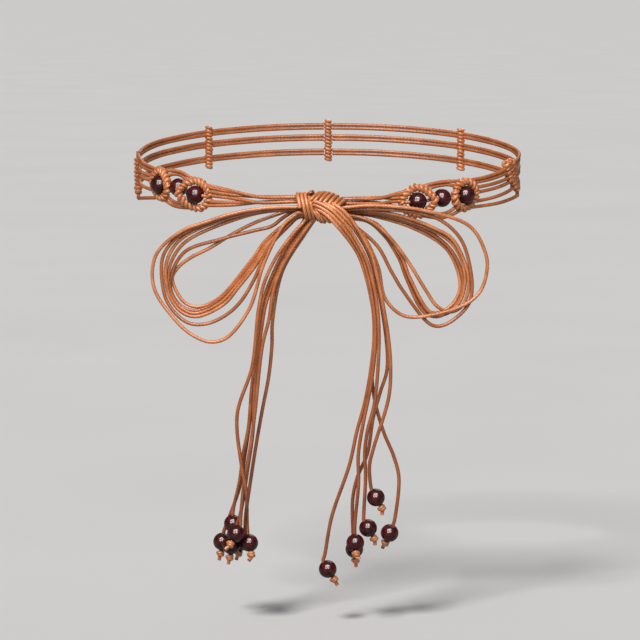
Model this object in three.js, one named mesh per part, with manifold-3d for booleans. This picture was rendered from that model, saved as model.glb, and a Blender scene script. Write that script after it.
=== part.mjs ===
// A knotted belt of waxed cotton cord with round wooden beads, worn at a waist and tied in a bow.
// Millimetres, +Z up. The wearer's front faces -Y, and +X is to the viewer's right.
// The origin is the middle of the waist that the belt goes round.
import * as THREE from "three";
import Module from "manifold-3d";
import { mergeVertices } from "three/addons/utils/BufferGeometryUtils.js";

const wasm = await Module();
wasm.setup();

// Cord and beads
const CORD = 2.2;             // diameter of every cord
const GAP = 0.3;              // clearance between neighbouring pieces
const TAIL_BEAD = 12;         // diameter of the beads on the free ends
const NET_BEAD = 12.4;        // diameter of the beads held in the net
const BORE = 3;               // hole through every bead
const STOPPER_LENGTH = 5;     // overhand knot under a tail bead
const STOPPER_WIDTH = 5.6;
const STUB = 4;               // cord left below the stopper

// Rows of clove hitches
const HITCH = 4.3;            // thickness of a hitch round its holding cord
const HITCH_NECK = 3.1;       // thickness between two hitches
const BAR_HITCHES = 9;        // hitches in an upright bar
const BAR_HEIGHT = 28;

// The waist
const WAIST_HALF_WIDTH = 133; // the band's ellipse, measured to the middle of its cords
const WAIST_HALF_DEPTH = 93;
const FRONT_DROP = 16;        // how much lower the belt sits at the front than at the sides

// The bow knot
const KNOT_LEFT = -21.5;      // flat sides that the loops and the band's cords run into
const KNOT_RIGHT = 10;
const KNOT_BOTTOM = -27;
const KNOT_TOP = -10;
const KNOT_BACK = -90.3;
const KNOT_DEPTH = 17.3;
const KNOT_CORNER = 3;        // cut from the long corners of the knot's heart
const WRAP_RADIUS = 10;       // the turns round the middle of the bow
const WRAP_TURNS = 4;
const WRAP_LEAN = 0.275;      // how far the turns lean to the left for each millimetre upwards
const WRAP_MIDDLE = [-14.2, -99.8, KNOT_BOTTOM + WRAP_RADIUS];

// The bow leans back by BOW_FALL at BOW_REACH from the middle
const BOW_FALL = 13;
const BOW_REACH = 118;

const FINISH = {
  cord: { color: 0xb4713f, roughness: 0.55, metalness: 0 },
  bead: { color: 0x2a0f0c, roughness: 0.15, metalness: 0 },
};

const belt = new THREE.Group();

function addPiece(name, geometry, finish) {
  const mesh = new THREE.Mesh(geometry, new THREE.MeshStandardMaterial(FINISH[finish]));
  mesh.name = name;
  belt.add(mesh);
}

// Shapes

function solidOf(geometry) {
  const bare = geometry.clone();
  bare.deleteAttribute("normal");
  bare.deleteAttribute("uv");
  const merged = mergeVertices(bare, 1e-4);
  return new wasm.Manifold(new wasm.Mesh({
    numProp: 3,
    vertProperties: new Float32Array(merged.attributes.position.array),
    triVerts: new Uint32Array(merged.index.array),
  }));
}

function joined(geometries) {
  const mesh = geometries.map(solidOf).reduce((whole, piece) => whole.add(piece)).getMesh();
  const geometry = new THREE.BufferGeometry();
  geometry.setAttribute("position", new THREE.BufferAttribute(new Float32Array(mesh.vertProperties), 3));
  geometry.setIndex(new THREE.BufferAttribute(new Uint32Array(mesh.triVerts), 1));
  geometry.computeVertexNormals();
  return geometry;
}

const vector = (p) => (p.isVector3 ? p : new THREE.Vector3(...p));

// A smooth route whose sections lie at the chosen points, or at even shares between them.
class Route extends THREE.CatmullRomCurve3 {
  constructor(points, closed = false) {
    super(points.map(vector), closed, "centripetal");
  }

  getPointAt(u, target) {
    return this.getPoint(u, target);
  }

  getTangentAt(u, target) {
    return this.getTangent(u, target);
  }
}

function ovalShape(width, height, sides) {
  const corners = Array.from({ length: sides }, (_, i) => {
    const angle = (2 * Math.PI * i) / sides;
    return new THREE.Vector2(Math.cos(angle) * width / 2, Math.sin(angle) * height / 2);
  });
  return new THREE.Shape(corners);
}

function cordGeometry(points, sides = 8, steps = points.length - 1) {
  return new THREE.ExtrudeGeometry(ovalShape(CORD, CORD, sides), { extrudePath: new Route(points), steps });
}

// Turns a shape made round the z axis so that it runs from one point towards another.
function along(geometry, from, to) {
  const direction = to.clone().sub(from).normalize();
  const turn = new THREE.Quaternion().setFromUnitVectors(new THREE.Vector3(0, 0, 1), direction);
  return geometry.applyQuaternion(turn).translate(from.x, from.y, from.z);
}

function latheAlongZ(profile, sides) {
  const points = profile.map(([radius, height]) => new THREE.Vector2(radius, height));
  return new THREE.LatheGeometry(points, sides).rotateX(Math.PI / 2);
}

// A closed solid through rings of corners, either round to its first ring again or with flat ends
function skin(rings, closed) {
  const sides = rings[0].length;
  const faces = [];
  for (let i = 0; i < rings.length - (closed ? 0 : 1); i += 1) {
    const here = i * sides;
    const next = ((i + 1) % rings.length) * sides;
    for (let side = 0; side < sides; side += 1) {
      const beside = (side + 1) % sides;
      faces.push(here + side, here + beside, next + beside, here + side, next + beside, next + side);
    }
  }
  const last = (rings.length - 1) * sides;
  for (let side = 1; side < sides - 1 && !closed; side += 1) {
    faces.push(0, side + 1, side, last, last + side, last + side + 1);
  }
  const geometry = new THREE.BufferGeometry();
  geometry.setFromPoints(rings.flat());
  geometry.setIndex(faces);
  return geometry;
}

function ring(centre, across, up, width, height, sides) {
  return Array.from({ length: sides }, (_, i) => {
    const angle = (2 * Math.PI * i) / sides;
    return centre.clone()
      .addScaledVector(across, (Math.cos(angle) * width) / 2)
      .addScaledVector(up, (Math.sin(angle) * height) / 2);
  });
}

// A rod along a route, as wide at each station as width says
function rod(points, stations, width, sides = 5, closed = false) {
  const route = new Route(points, closed);
  const steps = closed ? stations : stations - 1;
  const frames = route.computeFrenetFrames(steps, closed);
  const rings = Array.from({ length: stations }, (_, i) => (
    ring(route.getPoint(i / steps), frames.normals[i], frames.binormals[i], width(i), width(i), sides)
  ));
  return skin(rings, closed);
}

// An upright row of hitches swells at each hitch and narrows between two.
function hitchBar(from, to) {
  return rod([from, to], 2 * BAR_HITCHES + 1, (i) => (i % 2 ? HITCH : HITCH_NECK));
}

function beadGeometry(diameter, centre, axis) {
  const radius = diameter / 2;
  const rim = Math.asin(BORE / 2 / radius);
  const rows = 4;
  const profile = [];
  for (let i = 0; i <= rows; i += 1) {
    const angle = rim + ((Math.PI - 2 * rim) * i) / rows;
    profile.push([radius * Math.sin(angle), -radius * Math.cos(angle)]);
  }
  profile.push(profile[0]);
  return along(latheAlongZ(profile, 10), centre, centre.clone().add(axis));
}

// Bow loops: depth is where the strand lies in the bundle, route holds [x, z] from the knot and back

const LEFT_LOOPS = [
  { depth: -106.5, route: [[-21.8, -17], [-26.3, -17], [-42, -17.8], [-62, -21.2], [-82, -27.6],
    [-98, -33.8], [-115.3, -50], [-117, -71.5], [-102.5, -93.5], [-91.5, -103], [-79.5, -107.6],
    [-68.5, -104.8], [-53, -85], [-43, -54], [-30, -29], [-26, -22.2], [-21.8, -21.8]] },
  { depth: -104, route: [[-21.8, -17.4], [-26.3, -17.4], [-42, -18.4], [-62, -22.2], [-96.5, -35.2],
    [-106.5, -43.7], [-111.5, -54], [-109.2, -79], [-101, -90.8], [-92.5, -95.9], [-82, -95.8],
    [-70, -90.6], [-59.5, -81.3], [-50, -66], [-41, -46], [-26, -23.8], [-21.8, -23.4]] },
  { depth: -101.5, route: [[-21.8, -19.2], [-26.3, -19.2], [-42, -19.9], [-60, -23.2], [-92, -35.2],
    [-102.3, -43.2], [-108.3, -54.5], [-109.2, -67], [-105.5, -80.5], [-97.5, -89.3], [-88, -91.3],
    [-70, -82.6], [-60, -70.8], [-50.5, -58.8], [-42, -46], [-26, -25.2], [-21.8, -24.8]] },
  { depth: -99, route: [[-21.8, -19.6], [-26.3, -19.6], [-40, -20.6], [-55, -23.8], [-87, -36.2],
    [-98, -43.6], [-105, -54], [-107.8, -66.5], [-105.3, -77.5], [-99, -86], [-90, -89.6], [-73, -82.4],
    [-60, -68.5], [-50.5, -56.5], [-42, -44], [-26, -24.2], [-21.8, -23.8]] },
  { depth: -96.5, route: [[-21.8, -19.4], [-26.3, -19.4], [-31, -25.3], [-38, -30.6], [-50, -33.8],
    [-71.5, -39.5], [-97, -49], [-106.4, -67.5], [-105, -77.5], [-99, -85.2], [-90, -88], [-80, -84.9],
    [-68.5, -75.6], [-47, -49.4], [-36, -34.6], [-26, -26], [-21.8, -25.6]] },
  { depth: -94, route: [[-21.8, -18.6], [-26.3, -18.6], [-36, -23.5], [-49.5, -28.7], [-64.3, -36.3],
    [-79, -45.5], [-93.5, -53.2], [-101.5, -59.8], [-105.2, -67], [-98, -81.9], [-90, -85.6],
    [-82, -84.3], [-72, -78.2], [-50.5, -52], [-42, -40.3], [-26, -24.6], [-21.8, -24.2]] },
];

const RIGHT_LOOPS = [
  { depth: -104.5, route: [[10.3, -17.5], [14.8, -17.5], [27, -16.2], [45, -17.2], [65, -20.3],
    [94, -31], [104.9, -51], [105, -63], [100.8, -74.5], [92, -82.3], [71, -89.2], [50, -89.9],
    [37.5, -78.5], [32.5, -57], [22.5, -36], [14.5, -23.4], [10.3, -23]] },
  { depth: -102, route: [[10.3, -19], [14.8, -19], [28, -18.8], [45, -19.7], [60, -21.8], [73, -26],
    [83.5, -34], [90.3, -44.5], [95.6, -71], [92.8, -84], [77.5, -96.6], [68.5, -96.6], [50, -74.5],
    [41.5, -60.5], [32, -43.3], [14.5, -24.9], [10.3, -24.5]] },
  { depth: -99.5, route: [[10.3, -18.6], [14.8, -18.6], [45, -23], [72, -33], [82.5, -39.8], [92.8, -62],
    [93, -75], [88.6, -85], [81, -88.4], [72.5, -84.6], [64.5, -73.4], [54.5, -57], [45, -43.5],
    [35, -32.5], [25, -25.8], [14.5, -22.8], [10.3, -22.4]] },
  { depth: -97, route: [[10.3, -21], [14.8, -21], [30, -21.9], [45, -24.6], [73, -35.8], [82.5, -43.3],
    [88.7, -54], [91.2, -67], [89, -79], [83.5, -87], [76, -90.5], [67.5, -88.4], [53.8, -65],
    [48, -50.8], [31, -28.8], [14.5, -25], [10.3, -24.6]] },
  { depth: -94.5, route: [[10.3, -20], [14.8, -20], [45, -26], [60, -31.6], [72, -38.4], [81.5, -47.2],
    [87.4, -58], [89.9, -70], [87, -81.5], [80, -89.1], [71, -92], [63, -88.2], [51.8, -66], [46, -51.2],
    [30, -30], [14.5, -24], [10.3, -23.6]] },
  { depth: -92, route: [[10.3, -21.8], [14.8, -21.8], [30, -24.3], [60, -34.3], [80, -48.4], [88.1, -71],
    [85.1, -81.2], [78.5, -87.6], [70.5, -89.7], [63, -86.1], [56.8, -75.7], [51.5, -61.5],
    [44.5, -47.7], [36, -36.5], [26, -28], [14.5, -25.8], [10.3, -25.4]] },
];

function loopPoints({ depth, route }) {
  return route.map(([x, z]) => new THREE.Vector3(x, depth + BOW_FALL * (x / BOW_REACH) ** 2, z));
}

function makeLoops(side, loops) {
  loops.forEach((loop, i) => addPiece(`${side}_loop_${i + 1}`, cordGeometry(loopPoints(loop)), "cord"));
}

// Free ends: route holds [x, y, z] down to just above the bead, bead its middle, lean the way it hangs

const LEFT_TAILS = [
  { bead: [-53.7, -98, -244.6], lean: [0.16, -0.4, -0.9], route: [[-17, -103.5, -27.4],
    [-17.5, -103.6, -30], [-25, -104, -36.4], [-35, -104, -50.5], [-42.8, -104, -67], [-46.8, -104, -85],
    [-51.3, -104, -124], [-61.3, -104, -156], [-58.8, -104, -189], [-55.5, -104.1, -208],
    [-55.2, -94.4, -232]] },
  { bead: [-65, -89.5, -233], lean: [0, 0.1, -1], route: [[-16, -98.4, -27.4], [-16.5, -98.3, -30],
    [-29.5, -96.5, -46.5], [-43.2, -96.5, -78], [-46.8, -96.5, -99], [-49, -96.5, -119],
    [-51.8, -96.5, -140], [-54, -96.5, -166], [-57.6, -96.4, -184], [-60.2, -95, -203],
    [-64.4, -90.3, -221.8]] },
  { bead: [-62.4, -104.8, -236.8], lean: [-0.46, -0.38, -0.8], route: [[-12, -102.8, -27.4],
    [-12.5, -102.6, -30], [-25, -101.5, -46], [-32.5, -101.5, -60], [-37.4, -101.5, -75],
    [-39.9, -101.5, -92], [-44.4, -101.5, -110], [-49.5, -101.5, -155], [-53, -101.5, -181],
    [-56.6, -101.5, -200], [-59.3, -102.2, -226]] },
  { bead: [-65.9, -96.5, -246.7], lean: [-0.15, 0, -1], route: [[-13.4, -99.8, -27.4],
    [-13.9, -99.6, -30], [-27, -99, -47], [-41.4, -99, -80], [-45.3, -99, -101], [-48, -99, -121],
    [-49.8, -99, -141], [-50.9, -99, -168], [-54.1, -98.9, -191], [-59.8, -98, -225.5],
    [-63.3, -97.4, -235.2]] },
  { bead: [-59, -83, -247], lean: [-0.3, 0, -0.95], route: [[-10.4, -95.5, -27.4], [-10.9, -95.2, -30],
    [-16.3, -93, -36.4], [-31, -91.5, -61], [-37.7, -91.5, -94], [-38.3, -91.5, -112],
    [-40.4, -91.5, -132], [-44.8, -91.2, -155], [-48.9, -90.3, -178], [-52.2, -89, -199],
    [-56.6, -85, -230]] },
  { bead: [-72.6, -82, -247], lean: [-0.15, 0, -0.99], route: [[-17, -95.4, -27.4], [-17.5, -95, -30],
    [-31, -94, -51], [-38.7, -94, -68], [-43.6, -94, -85], [-49, -94, -125], [-51, -94, -146],
    [-54.2, -93.4, -170], [-57.6, -90.3, -192], [-60.5, -86, -209], [-68.8, -82, -233]] },
];

const RIGHT_TAILS = [
  { bead: [-0.8, -102, -261.7], lean: [0.5, 0.05, -0.85], route: [[5.8, -110, -29.9], [7.6, -110, -31.9],
    [19.8, -104, -50], [28.8, -103, -83], [30, -103, -103], [28.4, -103, -122], [24.2, -103, -147],
    [18.6, -103, -168], [13.8, -103, -190], [1.8, -103, -226], [-2.7, -102, -251.5]] },
  { bead: [17.7, -105, -243.1], lean: [0.05, -0.55, -0.83], route: [[7.65, -110, -28.2],
    [9.4, -110, -30.2], [22, -105.7, -50], [30, -105.5, -85], [31, -105.5, -103], [29.7, -105.5, -123],
    [27, -105.5, -141], [22.8, -105.5, -162], [19.6, -105.5, -183], [19.8, -105.5, -202],
    [17.4, -101.6, -231.5]] },
  { bead: [40.9, -98, -237.8], lean: [-0.35, 0.35, -0.87], route: [[9.5, -107.5, -26.5],
    [11.2, -107, -28.5], [22.3, -99.3, -48.5], [27, -98, -64], [30.4, -98, -105], [28.6, -98, -126],
    [30.4, -98, -146], [36.5, -98, -168.5], [43.5, -98, -185.5], [47, -98.5, -200], [44.4, -100.5, -227]] },
  { bead: [26.3, -103, -233.4], lean: [0.47, 0.05, -0.88], route: [[9.5, -110, -26.5],
    [11.3, -110, -28.5], [23.5, -108.3, -49], [29, -108, -66], [32.2, -108, -85], [33.2, -108, -106],
    [30.4, -108, -147], [25.6, -108, -167], [23.9, -107.5, -181], [24.5, -106.2, -197],
    [23.4, -103.4, -223.5]] },
  { bead: [17.2, -93.5, -249.8], lean: [0.1, 0.2, -0.97], route: [[11.35, -110, -24.9],
    [13.1, -109.7, -26.8], [26, -102.2, -48], [34.8, -100.5, -83], [38.9, -100.5, -125],
    [34.3, -100.5, -141.5], [29.6, -100.5, -159], [25.8, -100.5, -183], [19.2, -100.4, -199],
    [16, -99.6, -214], [16.3, -95.5, -239.5]] },
  { bead: [31.4, -106, -212], lean: [0.47, 0, -0.88], route: [[13.2, -110, -23.2], [14.9, -110, -25.2],
    [27.7, -110.5, -47], [32, -110.5, -63], [36, -110.5, -83], [39.4, -110.5, -104],
    [40.9, -110.5, -124], [39.6, -110.5, -144], [29.6, -110.5, -178], [27.1, -109.3, -189],
    [27.7, -106.5, -202.4]] },
];

// The route goes on through the bead's bore into the middle of the stopper.
function tailLine({ bead, lean, route }) {
  const axis = new THREE.Vector3(...lean).normalize();
  const at = (distance) => new THREE.Vector3(...bead).addScaledVector(axis, distance);
  const rim = TAIL_BEAD / 2;
  const stopper = rim + GAP + STOPPER_LENGTH / 2;
  return { axis, at, stopper, points: [...route.map(vector), at(-rim), at(rim), at(stopper)] };
}

// The stopper knot and the short cut end below it
function stopperGeometry({ at, stopper }) {
  const half = STOPPER_LENGTH / 2;
  const profile = [[0, -half], [STOPPER_WIDTH / 2, -half / 3], [STOPPER_WIDTH / 2, half / 3],
    [CORD / 2, half], [CORD / 2, half + STUB], [0, half + STUB]];
  return along(latheAlongZ(profile, 6), at(stopper), at(stopper + 1));
}

function makeTails(side, tails) {
  tails.forEach((tail, i) => {
    const line = tailLine(tail);
    addPiece(`${side}_tail_${i + 1}`, joined([cordGeometry(line.points), stopperGeometry(line)]), "cord");
    addPiece(`${side}_tail_bead_${i + 1}`, beadGeometry(TAIL_BEAD, line.at(0), line.axis), "bead");
  });
}

// The bow knot

// The knot's heart is a bar with cut corners, flat at both ends and underneath.
function heartGeometry() {
  const [back, front] = [KNOT_BACK, KNOT_BACK - KNOT_DEPTH];
  const [low, high] = [KNOT_BOTTOM, KNOT_TOP];
  const cut = KNOT_CORNER;
  const corners = [[back, high - cut], [back - cut, high], [front + cut, high], [front, high - cut],
    [front, low + cut], [front + cut, low], [back - cut, low], [back, low + cut]];
  const section = new THREE.Shape(corners.map(([y, z]) => new THREE.Vector2(y, z)));
  const depth = KNOT_RIGHT - KNOT_LEFT;
  const bar = new THREE.ExtrudeGeometry(section, { depth, bevelEnabled: false });
  const axes = new THREE.Matrix4().makeBasis(
    new THREE.Vector3(0, 1, 0), new THREE.Vector3(0, 0, 1), new THREE.Vector3(1, 0, 0),
  );
  return bar.applyMatrix4(axes).translate(KNOT_LEFT, 0, 0);
}

// The turns round the middle, leaning so that their top is further left
function wrapGeometry() {
  const width = WRAP_TURNS * CORD;
  const groove = WRAP_RADIUS - CORD / 3;
  const profile = [[0, -width / 2], [groove, -width / 2]];
  for (let turn = 0; turn < WRAP_TURNS; turn += 1) {
    const edge = -width / 2 + turn * CORD;
    profile.push([WRAP_RADIUS, edge + CORD / 2], [groove, edge + CORD]);
  }
  profile.push([0, width / 2]);
  const leaning = new THREE.Matrix4();
  leaning.elements[8] = -WRAP_LEAN;
  return latheAlongZ(profile, 14)
    .rotateY(Math.PI / 2)
    .applyMatrix4(leaning)
    .translate(...WRAP_MIDDLE);
}

// The strands that pass over the knot's front and become the right-hand free ends
function overStrands() {
  const lowest = [[-13, -104, -16.5], [-5, -108.5, -19.5], [0, -110, -23.7]];
  const highest = [[-13, -104, -14], [0, -108.5, -15.7], [8, -110, -18.4]];
  const front = RIGHT_TAILS.filter(({ route }) => route[0][1] === -110);
  return front.map(({ route: [start, next] }, i) => {
    const share = i / (front.length - 1);
    const from = lowest.map((low, k) => vector(low).lerp(vector(highest[k]), share));
    const forward = vector(next).sub(vector(start)).normalize();
    const end = vector(start).addScaledVector(forward, -GAP);
    return cordGeometry([...from, end.clone().addScaledVector(forward, -4), end], 5);
  });
}

// The strands wound over the top of the knot's right half, each a step further right and lower
function topStrands() {
  return Array.from({ length: 5 }, (_, i) => {
    const x = -10.5 + 3.3 * i;
    const drop = 0.16 * i ** 2;
    return cordGeometry([[x - 2, -107.5, -15 - drop], [x + 0.6, -106.6, -10.6 - drop],
      [x + 3.6, -101.5, -8.1 - drop], [x + 5.5, -94.5, -9 - drop]], 6);
  });
}

function makeKnot() {
  const behind = cordGeometry([[0, -105, -22], [4.5, -107.3, -22.5], [7.9, -107.5, -24.7],
    [9.3, -107.5, -26.3]], 6);
  const under = [0, 2.4].map((x) => (
    cordGeometry([[x - 13, -106, -18.6], [x - 9.4, -107.7, -22], [x - 6, -106, -26.2]], 6)
  ));
  addPiece("bow_knot", joined([heartGeometry(), wrapGeometry(), behind, ...under, ...overStrands(),
    ...topStrands()]), "cord");
}

// The band

const waistLine = new THREE.EllipseCurve(0, 0, WAIST_HALF_WIDTH, WAIST_HALF_DEPTH, -Math.PI / 2, 1.5 * Math.PI);
waistLine.arcLengthDivisions = 720;
const WAIST_LENGTH = waistLine.getLength();

// From the distance along the band from the middle of the front, to the right, the height above the
// band's middle line and the distance outwards
function onBand(distance, height, out = 0) {
  const share = (((distance / WAIST_LENGTH) % 1) + 1) % 1;
  const { x, y } = waistLine.getPointAt(share);
  const outwards = new THREE.Vector2(x / WAIST_HALF_WIDTH ** 2, y / WAIST_HALF_DEPTH ** 2).normalize();
  const rise = (FRONT_DROP * y) / WAIST_HALF_DEPTH;
  return new THREE.Vector3(x + out * outwards.x, y + out * outwards.y, rise + height);
}

// Distances along the band from the middle of the front, and heights above its middle line
const NETS = {
  left: {
    side: -1, face: KNOT_LEFT - GAP, entry: -11.3,
    inner: [94, 0.2], middle: [111, 2.5], outer: [128, 1.6], barTop: 177, barBottom: 177,
  },
  right: {
    side: 1, face: KNOT_RIGHT + GAP, entry: -12.4,
    inner: [60, -0.7], middle: [79.5, -0.4], outer: [97, -0.4], barTop: 147, barBottom: 163,
  },
};

const netPoint = (net) => ([distance, height], out = 0) => onBand(net.side * distance, height, out);

// Each gathered strand: its place in the bundle of two rows and three columns at the knot, and where it
// meets the inner frame, as the distance before the bead and the height above it
const GATHERED = [
  { row: 0, column: 0, meets: [-3.6, 8] },
  { row: 0, column: 1, meets: [-6.4, 6.4] },
  { row: 0, column: 2, meets: [-9.4, 3.4] },
  { row: 1, column: 0, meets: [-10.4, 0.8] },
  { row: 1, column: 1, meets: [-9, -3.6] },
  { row: 1, column: 2, meets: [-5.8, -6.6] },
];
const BUNDLE_PITCH = CORD + GAP;
const BUNDLE_FRONT = -97;     // middle of the front column at the knot
const BUNDLE_LENGTH = 24;     // how far the strands stay together beyond the knot

function gatheredStrand(net, { row, column, meets }) {
  const at = netPoint(net);
  const z = net.entry - row * BUNDLE_PITCH;
  const y = BUNDLE_FRONT + column * BUNDLE_PITCH;
  const end = [net.inner[0] + meets[0], net.inner[1] + meets[1]];
  const bundleEnd = Math.abs(net.face) + BUNDLE_LENGTH;
  const middle = [(bundleEnd + end[0]) / 2, THREE.MathUtils.lerp(2.5 - 2 * row, end[1], 0.62)];
  return cordGeometry([
    [net.face, y, z],
    [net.face + net.side * 4, y, z],
    at([bundleEnd, 3.4 - row * BUNDLE_PITCH], 3 - 2 * column),
    at(middle),
    at(end),
  ], 5);
}

// A frame of hitches round a bead. Its far corner may be lifted over the next bead, and its near corner
// may be drawn in.
const FRAME_HALF_LENGTH = 10.4;
const FRAME_HALF_HEIGHT = 9.2;
const FRAME_OUT = -1;

function frame(net, [distance, height], { near = FRAME_HALF_LENGTH, nearOut = FRAME_OUT, farOut = FRAME_OUT }) {
  const at = netPoint(net);
  const corners = [
    { along: -near, up: 0, out: nearOut },
    { along: 0, up: FRAME_HALF_HEIGHT, out: FRAME_OUT },
    { along: FRAME_HALF_LENGTH, up: 0, out: farOut },
    { along: 0, up: -FRAME_HALF_HEIGHT, out: FRAME_OUT },
  ];
  const bulge = 0.66;
  const points = corners.flatMap((corner, i) => {
    const next = corners[(i + 1) % corners.length];
    const halfway = {
      along: (corner.along + next.along) * bulge,
      up: (corner.up + next.up) * bulge,
      out: (corner.out + next.out) / 2,
    };
    return [corner, halfway].map((p) => at([distance + p.along, height + p.up], p.out));
  });
  return rod(points, 2 * points.length, () => HITCH, 5, true);
}

// Four cords pass the middle bead, two above it and two below.
function passingStrands(net) {
  const at = netPoint(net);
  const [innerAt, innerUp] = net.inner;
  const [middleAt, middleUp] = net.middle;
  const [outerAt, outerUp] = net.outer;
  return [-1, 1].flatMap((sign) => {
    const outer = cordGeometry([
      at([innerAt + 1, innerUp + sign * FRAME_HALF_HEIGHT], -1),
      at([middleAt - 4, middleUp + sign * (FRAME_HALF_HEIGHT + 2.4)], -1),
      at([middleAt + 4, middleUp + sign * (FRAME_HALF_HEIGHT + 2.4)], -1),
      at([outerAt - 1, outerUp + sign * FRAME_HALF_HEIGHT], -1),
    ], 5);
    const hugging = cordGeometry([
      at([innerAt + 5.5, innerUp + sign * 7.2], 0),
      at([middleAt - 3.5, middleUp + sign * 8.2], -1.5),
      at([middleAt + 3.5, middleUp + sign * 8.2], -1.5),
      at([outerAt - 6, outerUp + sign * 6.6], -0.5),
    ], 5);
    return [outer, hugging];
  });
}

// One cord runs through the three beads and holds the two frames together.
const BEAD_OUT = { inner: 1, middle: -2, outer: 0.5 };

function carrier(net) {
  const at = netPoint(net);
  const through = (place) => [-1, 1].map((sign) => {
    const [distance, height] = net[place];
    return at([distance + (sign * NET_BEAD) / 2, height], BEAD_OUT[place]);
  });
  const ends = [at([net.inner[0] - FRAME_HALF_LENGTH, net.inner[1]], FRAME_OUT),
    at([net.outer[0] + FRAME_HALF_LENGTH, net.outer[1]], FRAME_OUT)];
  return cordGeometry([ends[0], ...through("inner"), ...through("middle"), ...through("outer"), ends[1]], 5);
}

// Heights at which the six strands meet a bar, and where each leaves the outer frame
const FAN = [
  { bar: 12, leaves: [1, 9.2] },
  { bar: 8.5, leaves: [6, 7] },
  { bar: 3.5, leaves: [9.4, 3.4] },
  { bar: 0.5, leaves: [10.4, 0] },
  { bar: -5, leaves: [6.8, -6] },
  { bar: -13, leaves: [1, -9.2] },
];

function barPoint(net, height, out = 0) {
  const share = 0.5 - height / BAR_HEIGHT;
  return onBand(net.side * THREE.MathUtils.lerp(net.barTop, net.barBottom, share), height, out);
}

const BAR_CLEARANCE = HITCH / 2 + 3 * GAP;

function fanStrand(net, { bar, leaves }) {
  const start = [net.outer[0] + leaves[0], net.outer[1] + leaves[1]];
  const share = 0.5 - bar / BAR_HEIGHT;
  const end = THREE.MathUtils.lerp(net.barTop, net.barBottom, share) - BAR_CLEARANCE;
  const between = [(start[0] + end) / 2, (start[1] + bar) / 2];
  const at = netPoint(net);
  return cordGeometry([at(start, FRAME_OUT), at(between), at([end, bar])], 5);
}

function makeNet(name, net) {
  const [, middleUp] = net.middle;
  addPiece(`${name}_net`, joined([
    ...GATHERED.map((strand) => gatheredStrand(net, strand)),
    frame(net, net.inner, { farOut: 6 }),
    frame(net, net.outer, { near: 9.9, nearOut: 1.6 }),
    ...passingStrands(net),
    carrier(net),
    ...FAN.map((strand) => fanStrand(net, strand)),
  ]), "cord");
  for (const place of ["inner", "middle", "outer"]) {
    const [distance, height] = net[place];
    const centre = netPoint(net)([distance, height], BEAD_OUT[place]);
    const axis = onBand(net.side * distance + 1, middleUp).sub(onBand(net.side * distance - 1, middleUp)).normalize();
    addPiece(`${name}_${place}_bead`, beadGeometry(NET_BEAD, centre, axis), "bead");
  }
  addPiece(`${name}_bar`, hitchBar(barPoint(net, BAR_HEIGHT / 2), barPoint(net, -BAR_HEIGHT / 2)), "cord");
}

// Round the back the six cords go plainly in three pairs, with a row of hitches now and then.
const BACK_PAIRS = [10.2, 2, -8.5];   // heights of the pairs
const BACK_MIDDLE = WAIST_LENGTH / 2;
const BACK_BARS = 1;                  // rows of hitches on each side, between the side bar and the middle
const PAIR_STATIONS = 9;

function makeBack(name, net) {
  const last = BACK_MIDDLE - BAR_CLEARANCE;
  const levelOf = (height) => THREE.MathUtils.lerp(net.barTop, net.barBottom, 0.5 - height / BAR_HEIGHT);
  const pairs = BACK_PAIRS.map((height) => {
    const first = levelOf(height) + BAR_CLEARANCE + GAP;
    const rings = Array.from({ length: PAIR_STATIONS }, (_, i) => {
      const distance = net.side * THREE.MathUtils.lerp(first, last, i / (PAIR_STATIONS - 1));
      const centre = onBand(distance, height);
      const across = onBand(distance, height, 1).sub(centre);
      const corners = ring(centre, across, new THREE.Vector3(0, 0, 1), CORD, 2 * CORD + GAP, 6);
      return net.side > 0 ? corners.reverse() : corners;
    });
    return skin(rings, false);
  });
  const bars = Array.from({ length: BACK_BARS }, (_, i) => {
    const distance = THREE.MathUtils.lerp(levelOf(0), BACK_MIDDLE, (i + 1) / (BACK_BARS + 1));
    const ends = [1, -1].map((sign) => onBand(net.side * distance, (sign * BAR_HEIGHT) / 2));
    return rod(ends, 2, () => HITCH);
  });
  addPiece(`${name}_back_net`, joined([...pairs, ...bars]), "cord");
}

makeLoops("left", LEFT_LOOPS);
makeLoops("right", RIGHT_LOOPS);
makeTails("left", LEFT_TAILS);
makeTails("right", RIGHT_TAILS);
makeKnot();
makeNet("left", NETS.left);
makeNet("right", NETS.right);
makeBack("left", NETS.left);
makeBack("right", NETS.right);
const backBar = [BAR_HEIGHT / 2, -BAR_HEIGHT / 2].map((height) => onBand(BACK_MIDDLE, height));
addPiece("back_bar", hitchBar(...backBar), "cord");

export default belt;
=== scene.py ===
"""The looks of a knotted rope belt with round wooden beads, tied in a bow at the front.

Each piece has an operator of its own, listed in the sidebar's Rope belt panel. Routes and places are in
millimetres and become metres when a mesh is made. The belt's front faces -Y and +Z is up.
"""

import bisect
import math
import random

import bpy
from mathutils import Matrix, Vector


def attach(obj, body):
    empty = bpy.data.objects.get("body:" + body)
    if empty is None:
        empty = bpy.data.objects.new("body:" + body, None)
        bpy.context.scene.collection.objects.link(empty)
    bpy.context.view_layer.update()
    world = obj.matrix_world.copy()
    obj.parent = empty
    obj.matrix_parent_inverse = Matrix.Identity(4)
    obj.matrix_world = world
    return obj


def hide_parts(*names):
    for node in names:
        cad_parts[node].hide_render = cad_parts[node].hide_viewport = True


bl_info = {
    "name": "Rope belt",
    "version": (1, 0, 0),
    "blender": (4, 5, 0),
    "location": "3D View > Sidebar > Rope belt",
    "description": "Builds the looks of a knotted rope belt with wooden beads",
    "category": "Object",
}

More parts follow.
